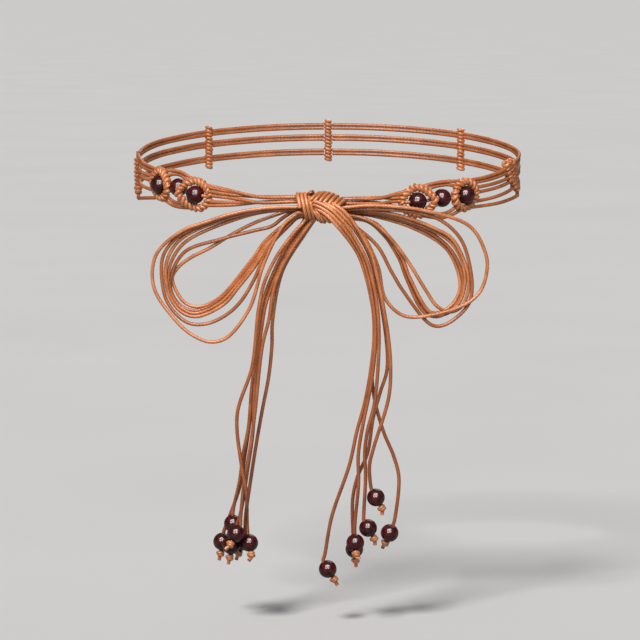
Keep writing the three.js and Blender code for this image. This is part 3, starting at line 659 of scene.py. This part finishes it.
def grown(name, mesh, tree, values):
    """The piece that the tree grows on a mesh, with plain faces and no modifier left."""
    piece = bpy.data.objects.new(name, mesh)
    bpy.context.collection.objects.link(piece)
    modifier = piece.modifiers.new(tree.name, "NODES")
    modifier.node_group = tree
    for item in tree.interface.items_tree:
        if item.in_out == "INPUT" and item.name in values:
            modifier[item.identifier] = values[item.name]
    depsgraph = bpy.context.evaluated_depsgraph_get()
    plain = bpy.data.meshes.new_from_object(piece.evaluated_get(depsgraph), preserve_all_data_layers=True,
                                            depsgraph=depsgraph)
    piece.modifiers.clear()
    piece.data = plain
    for spare in ("angle", "along", "out"):
        if spare in plain.attributes:
            plain.attributes.remove(plain.attributes[spare])
    return piece


def lines_mesh(name, strands):
    """A mesh of plain lines. A strand has points in millimetres, and may be closed and have a tone or tones
    and an outward side for each point."""
    places, edges, tones, sides = [], [], [], []
    for strand in strands:
        points = strand["points"]
        first = len(places)
        places += [Vector(point) * MM for point in points]
        edges += [(first + i, first + i + 1) for i in range(len(points) - 1)]
        if strand.get("closed"):
            edges.append((first + len(points) - 1, first))
        tone = strand.get("tone", TONES["plain"])
        tones += tone if isinstance(tone, list) else [tone] * len(points)
        sides += strand.get("out", [Vector((0, -1, 0))] * len(points))
    mesh = bpy.data.meshes.new(name)
    mesh.from_pydata(places, edges, [])
    mesh.attributes.new("tone", "FLOAT", "POINT").data.foreach_set("value", tones)
    flat = [part for side in sides for part in side]
    mesh.attributes.new("out", "FLOAT_VECTOR", "POINT").data.foreach_set("vector", flat)
    return mesh


def cord_piece(name, strands, sides=12, diameter=None):
    """A piece made of one or more cords."""
    sizes = bpy.context.scene.belt_sizes
    values = {"Diameter": diameter or sizes.cord, "Twist": sizes.twist, "Groove": sizes.groove,
              "Sides": sides, "Material": made_once(cord_material)}
    return grown(name, lines_mesh(name, strands), made_once(lay_cord_tree), values)


def hitch_piece(name, strands, seed, pitch=None, slant=0.8):
    """A piece made of one or more rows of hitches."""
    sizes = bpy.context.scene.belt_sizes
    values = {"Pitch": pitch * MM if pitch else sizes.hitch, "Width": sizes.hitch_width, "Strand": sizes.cord,
              "Slant": slant, "Seed": seed, "Material": made_once(cord_material)}
    return grown(name, lines_mesh(name, strands), made_once(hitch_row_tree), values)


def placed(piece, finish, *nodes):
    """Puts a piece on the belt in place of its CAD nodes."""
    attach(piece, "root")
    if nodes:
        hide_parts(*nodes)
    return piece


def smooth_line(points, step=0.9, closed=False):
    """Points at about that step along the centripetal Catmull-Rom route through the given points."""
    knots = [Vector(point) for point in points]
    if closed:
        chain = [knots[-1], *knots, knots[0], knots[1]]
    else:
        chain = [2 * knots[0] - knots[1], *knots, 2 * knots[-1] - knots[-2]]
    line = []
    for i in range(1, len(chain) - 2):
        before, start, end, after = chain[i - 1:i + 3]
        steps = ((before, start), (start, end), (end, after))
        first, second, third = (math.sqrt((b - a).length) for a, b in steps)
        leave = (start - before) / first - (end - before) / (first + second) + (end - start) / second
        arrive = (end - start) / second - (after - start) / (second + third) + (after - end) / third
        leave, arrive = leave * second, arrive * second
        count = max(1, round((end - start).length / step))
        for k in range(count):
            t = k / count
            line.append(start + leave * t + (3 * (end - start) - 2 * leave - arrive) * t ** 2
                        + (2 * (start - end) + leave + arrive) * t ** 3)
    return line if closed else [*line, knots[-1]]


def length_of(line):
    """The length of a line of points."""
    return sum((b - a).length for a, b in zip(line, line[1:]))


def free_cord(line):
    """Works out the length of a line in metres; nothing keeps the result."""
    path = [point * MM for point in line]
    length_of(path)


def loop_line(depth, route):
    """The line of a bow loop, which sweeps into the knot without the level points beside it."""
    swept = [route[0], *route[2:-2], route[-1]]
    return smooth_line([(x, depth + BOW_FALL * (x / BOW_REACH) ** 2, z) for x, z in swept])


def tail_tones(line):
    """Free ends are darker further down."""
    depths = [min(1.0, max(0.0, (FREE_END_TOP - point.z) / FREE_END_FALL)) for point in line]
    return [TONES["free_end"] - FREE_END_DARKENING * depth for depth in depths]


def tail_line(bead, lean, route):
    """The line of a free end, through its bead and into its stopper knot. A left end sweeps out of the knot
    without the second point of its route."""
    sizes = bpy.context.scene.belt_sizes
    rim = sizes.tail_bead / MM / 2
    axis = Vector(lean).normalized()
    ends = [Vector(bead) + axis * distance for distance in (-rim, rim, rim + PAST_BEAD)]
    rest = route[2:] if route[0][0] < 0 else route[1:]
    return smooth_line([route[0], *rest, *ends])


def stopper_strand(bead, lean, stub, dark):
    """The stopper knot under a bead and the short cut end below it."""
    axis = Vector(lean).normalized()
    across = axis.cross(Vector((0, 1, 0))).normalized()
    behind = axis.cross(across)
    rim = bpy.context.scene.belt_sizes.tail_bead / MM / 2
    top = Vector(bead) + axis * rim
    points = [top + across * a + behind * b + axis * (STOPPER_DROP + c) for a, b, c in STOPPER]
    way = Vector(stub).normalized() if stub else axis
    points += [points[-1] + way * STOPPER_STUB * share for share in (0.5, 1.0)]
    line = smooth_line(points, STOPPER_STEP)
    tones = [TONES["stopper"]] * len(line)
    if dark:
        tones[-len(CUT_TONES):] = CUT_TONES
    return {"points": line, "tone": tones}


def lathed_bead(name, diameter, centre, axis, seed):
    """A round bead with a bored hole whose edge is eased."""
    sizes = bpy.context.scene.belt_sizes
    radius, bore = diameter / 2, sizes.bore / 2
    edge = BORE_EDGE * MM
    lip_out, lip_in = (length * MM for length in BORE_LIP)
    rim = math.asin((bore + edge) / radius)
    outer = [(radius * math.sin(angle), -radius * math.cos(angle))
             for angle in (rim + (math.pi - 2 * rim) * i / BEAD_ROWS for i in range(BEAD_ROWS + 1))]
    top = outer[-1][1]
    profile = [*outer, (bore + lip_out, top - lip_in), (bore, top - edge), (bore, edge - top),
               (bore + lip_out, lip_in - top)]
    turn = Vector((0, 0, 1)).rotation_difference(axis).to_matrix()
    luck = random.Random(seed)
    roll = Matrix.Rotation(luck.uniform(0, math.tau), 3, "Z")
    shift = Vector(luck.uniform(-1, 1) for _ in range(3))
    places, grain = [], []
    for out, up in profile:
        for k in range(BEAD_COLUMNS):
            angle = math.tau * k / BEAD_COLUMNS
            spot = Vector((out * math.cos(angle), out * math.sin(angle), up))
            places.append(turn @ roll @ spot + centre)
            grain += list(spot + shift)
    faces = []
    for i in range(len(profile)):
        here, there = i * BEAD_COLUMNS, (i + 1) % len(profile) * BEAD_COLUMNS
        for k in range(BEAD_COLUMNS):
            beside = (k + 1) % BEAD_COLUMNS
            faces.append((here + k, here + beside, there + beside, there + k))
    mesh = bpy.data.meshes.new(name)
    mesh.from_pydata(places, [], faces)
    mesh.attributes.new("grain", "FLOAT_VECTOR", "POINT").data.foreach_set("vector", grain)
    mesh.shade_smooth()
    mesh.materials.append(made_once(bead_material))
    piece = bpy.data.objects.new(name, mesh)
    bpy.context.collection.objects.link(piece)
    return piece


def waist_walk():
    """The distance walked round the waist's ellipse from the middle of the front to each of its divisions."""
    angles = [math.tau * i / WAIST_DIVISIONS - math.pi / 2 for i in range(WAIST_DIVISIONS + 1)]
    places = [Vector((WAIST_HALF_WIDTH * math.cos(a), WAIST_HALF_DEPTH * math.sin(a))) for a in angles]
    walked = [0.0]
    for last, place in zip(places, places[1:]):
        walked.append(walked[-1] + (place - last).length)
    return walked


WALKED = waist_walk()
WAIST_LENGTH = WALKED[-1]
BACK_MIDDLE = WAIST_LENGTH / 2


def waist_angle(distance):
    """Where on the ellipse a distance from the middle of the front ends."""
    target = distance % WAIST_LENGTH
    i = min(bisect.bisect_right(WALKED, target) - 1, WAIST_DIVISIONS - 1)
    part = (target - WALKED[i]) / (WALKED[i + 1] - WALKED[i])
    return math.tau * (i + part) / WAIST_DIVISIONS - math.pi / 2


def outward(distance):
    """The way out from the waist at a distance along it."""
    angle = waist_angle(distance)
    return Vector((math.cos(angle) / WAIST_HALF_WIDTH, math.sin(angle) / WAIST_HALF_DEPTH, 0)).normalized()


def on_band(distance, height, out=0.0):
    """A point of the band from its distance along it, its height above the middle line and how far out."""
    angle = waist_angle(distance)
    x, y = WAIST_HALF_WIDTH * math.cos(angle), WAIST_HALF_DEPTH * math.sin(angle)
    rise = FRONT_DROP * y / WAIST_HALF_DEPTH
    return Vector((x, y, rise + height)) + outward(distance) * out


def between(a, b, share):
    """The number at a share of the way from a to b."""
    return a + (b - a) * share


def bar_level(net, height):
    """How far along the band the side bar is at a height."""
    return between(net["bar_top"], net["bar_bottom"], 0.5 - height / BAR_HEIGHT)


def bundle_start(net, row, column):
    """Where one of the band's cords leaves the knot."""
    return Vector((net["face"], BUNDLE_FRONT + column * BUNDLE_PITCH, net["entry"] - row * ROW_PITCH))


def net_strands(net):
    """The plain cords of a net: gathered, passing, through the beads and fanning out."""
    side = net["side"]
    inner, middle, outer = net["inner"], net["middle"], net["outer"]

    def at(distance, height, out=0.0):
        return on_band(side * distance, height, out)

    routes = []
    for row, column, meets in GATHERED:
        start = bundle_start(net, row, column)
        end = (inner[0] + meets[0], inner[1] + meets[1])
        bundle_end = abs(net["face"]) + BUNDLE_LENGTH
        halfway = ((bundle_end + end[0]) / 2, between(2.5 - 2 * row, end[1], 0.62))
        routes.append([start, start + Vector((side * BUNDLE_START, 0, 0)),
                       at(bundle_end, SPREAD_TOP - row * SPREAD_PITCH, 3 - 2 * column), at(*halfway),
                       at(*end)])
    for sign, (far, close) in PASSING.items():
        routes.append([at(inner[0] + 1, inner[1] + sign * FRAME_HEIGHT, -1),
                       at(middle[0] - 4, middle[1] + sign * far, -1),
                       at(middle[0] + 4, middle[1] + sign * far, -1),
                       at(outer[0] - 1, outer[1] + sign * FRAME_HEIGHT, -1)])
        routes.append([at(inner[0] + 5.5, inner[1] + sign * 7.2),
                       at(middle[0] - 3.5, middle[1] + sign * close, -1.5),
                       at(middle[0] + 3.5, middle[1] + sign * close, -1.5),
                       at(outer[0] - 6, outer[1] + sign * 6.6, -0.5)])
    through = [at(inner[0] - FRAME_LENGTH, inner[1], FRAME_OUT)]
    half = bpy.context.scene.belt_sizes.net_bead / MM / 2
    for name in ("inner", "middle", "outer"):
        distance, height = net[name]
        through += [at(distance + sign * half, height, BEAD_OUT[name]) for sign in (-1, 1)]
    routes.append([*through, at(outer[0] + FRAME_LENGTH, outer[1], FRAME_OUT)])
    for bar, leaves in FAN:
        start = (outer[0] + leaves[0], outer[1] + leaves[1])
        end = bar_level(net, bar) - BAR_CLEARANCE
        bends = [at(between(start[0], end, along), between(start[1], bar, up)) for along, up in net["fan"]]
        routes.append([at(*start, FRAME_OUT), *bends, at(end, bar)])
    lowest = net["lowest"]
    foot = bar_level(net, lowest)
    routes.append([at(outer[0] + 1, outer[1] - FRAME_HEIGHT, FRAME_OUT),
                   at((outer[0] + foot) / 2, (outer[1] - FRAME_HEIGHT + lowest) / 2),
                   at(foot - 2, lowest), at(foot - 0.3, lowest + 0.4), at(foot, lowest + 2),
                   at(foot, lowest + 5)])
    return [{"points": smooth_line(route)} for route in routes]


def frame_line(net, place, near=FRAME_LENGTH, near_out=FRAME_OUT, far_out=FRAME_OUT):
    """The closed row of hitches round a bead, with the way out at each of its points."""
    distance, height = net[place]
    corners = ((-near, 0, near_out), (0, FRAME_HEIGHT, FRAME_OUT), (FRAME_LENGTH, 0, far_out),
               (0, -FRAME_HEIGHT, FRAME_OUT))
    points = []
    for i, (along, up, out) in enumerate(corners):
        next_along, next_up, next_out = corners[(i + 1) % 4]
        for a, u, o in ((along, up, out), ((along + next_along) * FRAME_BULGE, (up + next_up) * FRAME_BULGE,
                                           (out + next_out) / 2)):
            points.append(on_band(net["side"] * (distance + a), height + u, o))
    line = smooth_line(points, 1.0, closed=True)
    away = outward(net["side"] * distance)
    return {"points": line, "closed": True, "out": [away] * len(line), "tone": TONES["frame"]}


def bar_line(top, bottom):
    """An upright row of hitches between two points, with the way out at each of its points."""
    away = Vector((top.x / WAIST_HALF_WIDTH ** 2, top.y / WAIST_HALF_DEPTH ** 2, 0)).normalized()
    line = [top.lerp(bottom, i / BAR_STEPS) for i in range(BAR_STEPS + 1)]
    return {"points": line, "out": [away] * len(line), "tone": TONES["bar"]}


def knot_strands():
    """The cords of the bow knot: its turns, what runs into it, and what passes over it."""
    middle = Vector(WRAP_MIDDLE)
    turns = []
    for i in range(WRAP_TURNS * WRAP_STEPS + 1):
        turn = i / WRAP_STEPS
        angle = math.tau * turn
        y, z = -WRAP_RADIUS * math.cos(angle), WRAP_RADIUS * math.sin(angle)
        x = (turn - WRAP_TURNS / 2) * WRAP_PITCH - WRAP_LEAN * z
        turns.append(middle + Vector((x, y, z)))
    strands = [{"points": turns, "tone": TONES["wrap"]}]

    def into_wrap(after, start):
        ahead = (start - after).normalized()
        offset = Vector((0, start.y - middle.y, start.z - middle.z))
        inside = middle + offset * min(1.0, WRAP_ROOM / offset.length)
        route = [start, start + ahead * 1.5, start.lerp(inside, 0.6), inside]
        return {"points": smooth_line(route), "tone": TONES["into_wrap"]}

    for side, loops, inward in (("left", LEFT_LOOPS, 1), ("right", RIGHT_LOOPS, -1)):
        for depth, route in loops:
            line = loop_line(depth, route)
            strands += [into_wrap(line[1], line[0]), into_wrap(line[-2], line[-1])]
        for row, column, _ in GATHERED:
            place = bundle_start(NETS[side], row, column)
            strands.append(into_wrap(place - Vector((inward, 0, 0)), place))
    for tail in LEFT_TAILS:
        line = tail_line(*tail)
        strands.append(into_wrap(line[1], line[0]))

    coming_over = [tail for tail in RIGHT_TAILS if tail[2][0][1] == OVER_DEPTH]
    for begin, tail in zip(OVER_STRANDS, coming_over):
        line = tail_line(*tail)
        back = (line[0] - line[1]).normalized()
        route = [*begin, line[0] + back * 1.5, line[0]]
        strands.append({"points": smooth_line(route), "tone": TONES["over"]})
    for (low_x, low_z), (high_x, high_z) in TOP_STRANDS:
        route = [
            (low_x - 3, -105.5, low_z - 3), (low_x, -108, low_z),
            ((low_x + high_x) / 2, -106.6, (low_z + high_z) / 2 + 0.4), (high_x, -102.5, high_z),
            (high_x + 1.5, -97, high_z), (high_x + 1.5, -91.8, high_z - 4), (high_x, -90.4, high_z - 9),
            (high_x - 2, -92, -24),
        ]
        strands.append({"points": smooth_line(route), "tone": TONES["top"]})
    strands += [{"points": smooth_line(route), "tone": TONES["loose"]} for route in LOOSE_STRANDS]
    strands.append({"points": smooth_line(CURL), "tone": TONES["curl"]})
    return strands


def tails():
    """Every free end with its side and number."""
    for side, lines in (("left", LEFT_TAILS), ("right", RIGHT_TAILS)):
        for number, (bead, lean, route) in enumerate(lines, 1):
            yield side, number, bead, lean, route


class MakeCamera(bpy.types.Operator):
    """Sets up the camera where the photo was taken from"""

    bl_idname = "belt.make_camera"
    bl_label = "Camera"

    def execute(self, context):
        data = bpy.data.cameras.new("camera")
        data.lens = CAMERA_LENS
        data.clip_end = 400
        camera = bpy.data.objects.new("camera", data)
        tilt = math.radians(CAMERA_ELEVATION)
        back = Vector((0, -math.cos(tilt), math.sin(tilt))) * CAMERA_DISTANCE
        camera.location = (Vector(CAMERA_TARGET) + back) * MM
        camera.rotation_euler = (math.pi / 2 - tilt, 0, 0)
        context.collection.objects.link(camera)
        context.scene.camera = camera
        return {"FINISHED"}


class MakeLoops(bpy.types.Operator):
    """Makes the twelve strands of the bow's two loops"""

    bl_idname = "belt.make_loops"
    bl_label = "Bow loops"

    def execute(self, context):
        for side, loops in (("left", LEFT_LOOPS), ("right", RIGHT_LOOPS)):
            for number, (depth, route) in enumerate(loops, 1):
                line = loop_line(depth, route)
                tone = TONES["loop"] + LOOP_TONE_SPREAD * math.sin(2.3 * number)
                piece = cord_piece(f"{side}_loop_cord_{number}", [{"points": line, "tone": tone}])
                placed(piece, "cord", f"{side}_loop_{number}")
                free_cord(line)
        return {"FINISHED"}


class MakeTails(bpy.types.Operator):
    """Makes the twelve free ends with their beads and stopper knots"""

    bl_idname = "belt.make_tails"
    bl_label = "Free ends"

    def execute(self, context):
        for side, number, bead, lean, route in tails():
            line = tail_line(bead, lean, route)
            label = f"{side}_tail_cord_{number}"
            piece = cord_piece(label, [{"points": line, "tone": tail_tones(line)}])
            placed(piece, "cord", f"{side}_tail_{number}")
            wood = lathed_bead(f"{side}_bead_{number}", context.scene.belt_sizes.tail_bead, Vector(bead) * MM,
                               Vector(lean).normalized(), number + (10 if side == "right" else 0))
            placed(wood, "bead", f"{side}_tail_bead_{number}")
            strand = stopper_strand(bead, lean, STUBS.get((side, number)), (side, number) in CUT_DARK)
            stopper = placed(cord_piece(f"{side}_stopper_{number}", [strand]), "cord")
            free_cord(line)
        return {"FINISHED"}


class MakeKnot(bpy.types.Operator):
    """Makes the knot in the middle of the bow"""

    bl_idname = "belt.make_knot"
    bl_label = "Bow knot"

    def execute(self, context):
        placed(cord_piece("knot_cords", knot_strands()), "cord", "bow_knot")
        # The heart's dark tone is painted shade for the inside of the knot
        hearts = [{"points": smooth_line(route), "tone": TONES["heart"]} for route in HEARTS]
        placed(cord_piece("knot_heart", hearts, diameter=HEART_SIZE * MM), "cord", "bow_knot")
        return {"FINISHED"}


class MakeNets(bpy.types.Operator):
    """Makes the knotted nets on both sides of the bow"""

    bl_idname = "belt.make_nets"
    bl_label = "Nets"

    def execute(self, context):
        for seed, (name, net) in enumerate(NETS.items(), 1):
            cords = cord_piece(f"{name}_net_cords", net_strands(net))
            rows = [frame_line(net, place, **shape) for place, shape in FRAMES.items()]
            hitches = hitch_piece(f"{name}_net_frames", rows, seed)
            placed(cords, "cord", f"{name}_net")
            placed(hitches, "cord", f"{name}_net")
        return {"FINISHED"}


class MakeNetBeads(bpy.types.Operator):
    """Makes the six beads that the nets hold"""

    bl_idname = "belt.make_net_beads"
    bl_label = "Net beads"

    def execute(self, context):
        for name, net in NETS.items():
            for place in ("inner", "middle", "outer"):
                distance, height = net[place]
                centre = on_band(net["side"] * distance, height, BEAD_OUT[place])
                axis = on_band(net["side"] * distance + 1, 0) - on_band(net["side"] * distance - 1, 0)
                wood = lathed_bead(f"{name}_{place}_wood", context.scene.belt_sizes.net_bead, centre * MM,
                                   axis.normalized(), round(distance))
                placed(wood, "bead", f"{name}_{place}_bead")
        return {"FINISHED"}


class MakeBars(bpy.types.Operator):
    """Makes the upright rows of hitches at both sides and at the middle of the back"""

    bl_idname = "belt.make_bars"
    bl_label = "Bars"

    def execute(self, context):
        for seed, (name, net) in enumerate(NETS.items(), 11):
            rows = []
            for past, *reach in net["bar_rows"]:
                ends = [on_band(net["side"] * (bar_level(net, height) + past), height) for height in reach]
                rows.append(bar_line(*ends))
            hitches = hitch_piece(f"{name}_bar_hitches", rows, seed, BAR_PITCH, BAR_SLANT)
            placed(hitches, "cord", f"{name}_bar")
            heights = (BAR_ENDS[0], 0, BAR_ENDS[1])
            holding = [on_band(net["side"] * bar_level(net, height), height) for height in heights]
            placed(cord_piece(f"{name}_bar_core", [{"points": smooth_line(holding)}]), "cord", f"{name}_bar")
        ends = [on_band(BACK_MIDDLE, height) for height in BAR_ENDS]
        hitches = hitch_piece("back_bar_hitches", [bar_line(*ends)], 13, BAR_PITCH, BAR_SLANT)
        placed(hitches, "cord", "back_bar")
        return {"FINISHED"}


class MakeBack(bpy.types.Operator):
    """Makes the plain cords round the back and the rows of hitches across them"""

    bl_idname = "belt.make_back"
    bl_label = "Back"

    def execute(self, context):
        for seed, (name, net) in enumerate(NETS.items(), 21):
            strands = []
            for height in BACK_PAIRS:
                first = bar_level(net, height) + BAR_CLEARANCE + 0.3
                for up in (-BACK_SPREAD, BACK_SPREAD):
                    route = []
                    for i in range(BACK_STATIONS + 1):
                        station = between(first, BACK_MIDDLE - BAR_CLEARANCE, i / BACK_STATIONS)
                        sway = BACK_SWAY * math.sin(1.7 * i + 3 * up)
                        route.append(on_band(net["side"] * station, height + up, sway))
                    strands.append({"points": smooth_line(route, 1.0), "tone": TONES["back"]})
            middle = between(bar_level(net, 0), BACK_MIDDLE, 0.5)
            ends = [on_band(net["side"] * middle, height) for height in BAR_ENDS]
            placed(cord_piece(f"{name}_back_cords", strands), "cord", f"{name}_back_net")
            hitches = hitch_piece(f"{name}_back_hitches", [bar_line(*ends)], seed, BAR_PITCH, BAR_SLANT)
            placed(hitches, "cord", f"{name}_back_net")
        return {"FINISHED"}


def aimed(data, azimuth, elevation, distance, roll=0.0):
    """A light that faces the belt from an azimuth to the right of the front and an elevation."""
    light = bpy.data.objects.new(data.name, data)
    around, up = math.radians(azimuth), math.radians(elevation)
    way = Vector((math.sin(around) * math.cos(up), -math.cos(around) * math.cos(up), math.sin(up)))
    light.location = Vector(CAMERA_TARGET) * MM + way * distance
    turn = way.to_track_quat("Z", "Y").to_matrix() @ Matrix.Rotation(math.radians(roll), 3, "Z")
    light.rotation_euler = turn.to_euler()
    bpy.context.collection.objects.link(light)
    return light


def soft_box(name, size, power, colour):
    """A rectangular area light."""
    data = bpy.data.lights.new(name, "AREA")
    data.shape = "RECTANGLE"
    data.size, data.size_y = size
    data.energy = power
    data.color = colour
    return data


def lit_pieces(name, pieces):
    """A collection of the pieces that a light is limited to."""
    collection = bpy.data.collections.new(name)
    for piece in pieces:
        collection.objects.link(piece)
    return collection


class MakeStage(bpy.types.Operator):
    """Makes the floor, the lights and the pale surroundings"""

    bl_idname = "belt.make_stage"
    bl_label = "Stage"

    def execute(self, context):
        half, height = FLOOR_HALF * MM, FLOOR_HEIGHT * MM
        mesh = bpy.data.meshes.new("floor")
        corners = [(-half, -half, height), (half, -half, height), (half, half, height), (-half, half, height)]
        mesh.from_pydata(corners, [], [(0, 1, 2, 3)])
        mesh.materials.append(made_once(floor_material))
        floor = bpy.data.objects.new("floor", mesh)
        context.collection.objects.link(floor)
        wood = made_once(bead_material).name
        pieces = [piece for piece in context.scene.objects if piece.type == "MESH" and piece != floor]
        polished = lit_pieces("polished", [piece for piece in pieces if wood in piece.data.materials])
        belt = lit_pieces("belt", pieces)
        for box in SOFT_BOXES:
            name, size, colour = box["name"], box["size"], box["colour"]
            broad = tuple(WOOD_BOX_SPREAD * length for length in size)
            lights = (
                (soft_box(name, size, box["power"], colour), belt),
                (soft_box(f"{name}_for_wood", broad, box["wood_power"], colour), polished),
            )
            for data, lit in lights:
                light = aimed(data, box["azimuth"], **BOX_PLACE)
                light.light_linking.receiver_collection = lit
        back = aimed(soft_box("back_box", **BACK_BOX), **BACK_BOX_PLACE)
        back.light_linking.receiver_collection = belt
        sun = bpy.data.lights.new("window", "SUN")
        sun.energy = SUN_STRENGTH
        sun.angle = math.radians(SUN_WIDTH)
        sun.color = SUN_COLOUR
        aimed(sun, **SUN_PLACE)
        world = bpy.data.worlds.new("pale world")
        world.use_nodes = True
        background = world.node_tree.nodes["Background"]
        background.inputs["Color"].default_value = SKY_COLOUR
        graph = Graph(world.node_tree)
        seen = graph.add("ShaderNodeLightPath", None, None, "Is Camera Ray")
        graph.feed(background.inputs["Strength"], SKY_STRENGTH + seen * SKY_SEEN)
        context.scene.view_settings.view_transform = "Standard"
        context.scene.world = world
        return {"FINISHED"}


STEPS = (MakeCamera, MakeLoops, MakeTails, MakeKnot, MakeNets, MakeNetBeads, MakeBars, MakeBack, MakeStage)


class BeltPanel(bpy.types.Panel):
    """Lists the pieces, their sizes and their colours"""

    bl_idname = "VIEW3D_PT_rope_belt"
    bl_label = "Rope belt"
    bl_space_type = "VIEW_3D"
    bl_region_type = "UI"
    bl_category = "Rope belt"

    def draw(self, context):
        for group in (context.scene.belt_sizes, context.scene.belt_colours):
            column = self.layout.column(align=True)
            for name in group.__annotations__:
                column.prop(group, name)
        column = self.layout.column(align=True)
        for step in STEPS:
            column.operator(step.bl_idname)


CLASSES = (BeltSizes, BeltColours, *STEPS, BeltPanel)


def register():
    for item in CLASSES:
        bpy.utils.register_class(item)
    bpy.types.Scene.belt_sizes = bpy.props.PointerProperty(type=BeltSizes)
    bpy.types.Scene.belt_colours = bpy.props.PointerProperty(type=BeltColours)


def unregister():
    del bpy.types.Scene.belt_colours
    del bpy.types.Scene.belt_sizes
    for item in reversed(CLASSES):
        bpy.utils.unregister_class(item)


def main():
    register()
    for step in STEPS:
        group, name = step.bl_idname.split(".")
        getattr(getattr(bpy.ops, group), name)()


if __name__ == "__main__":
    main()
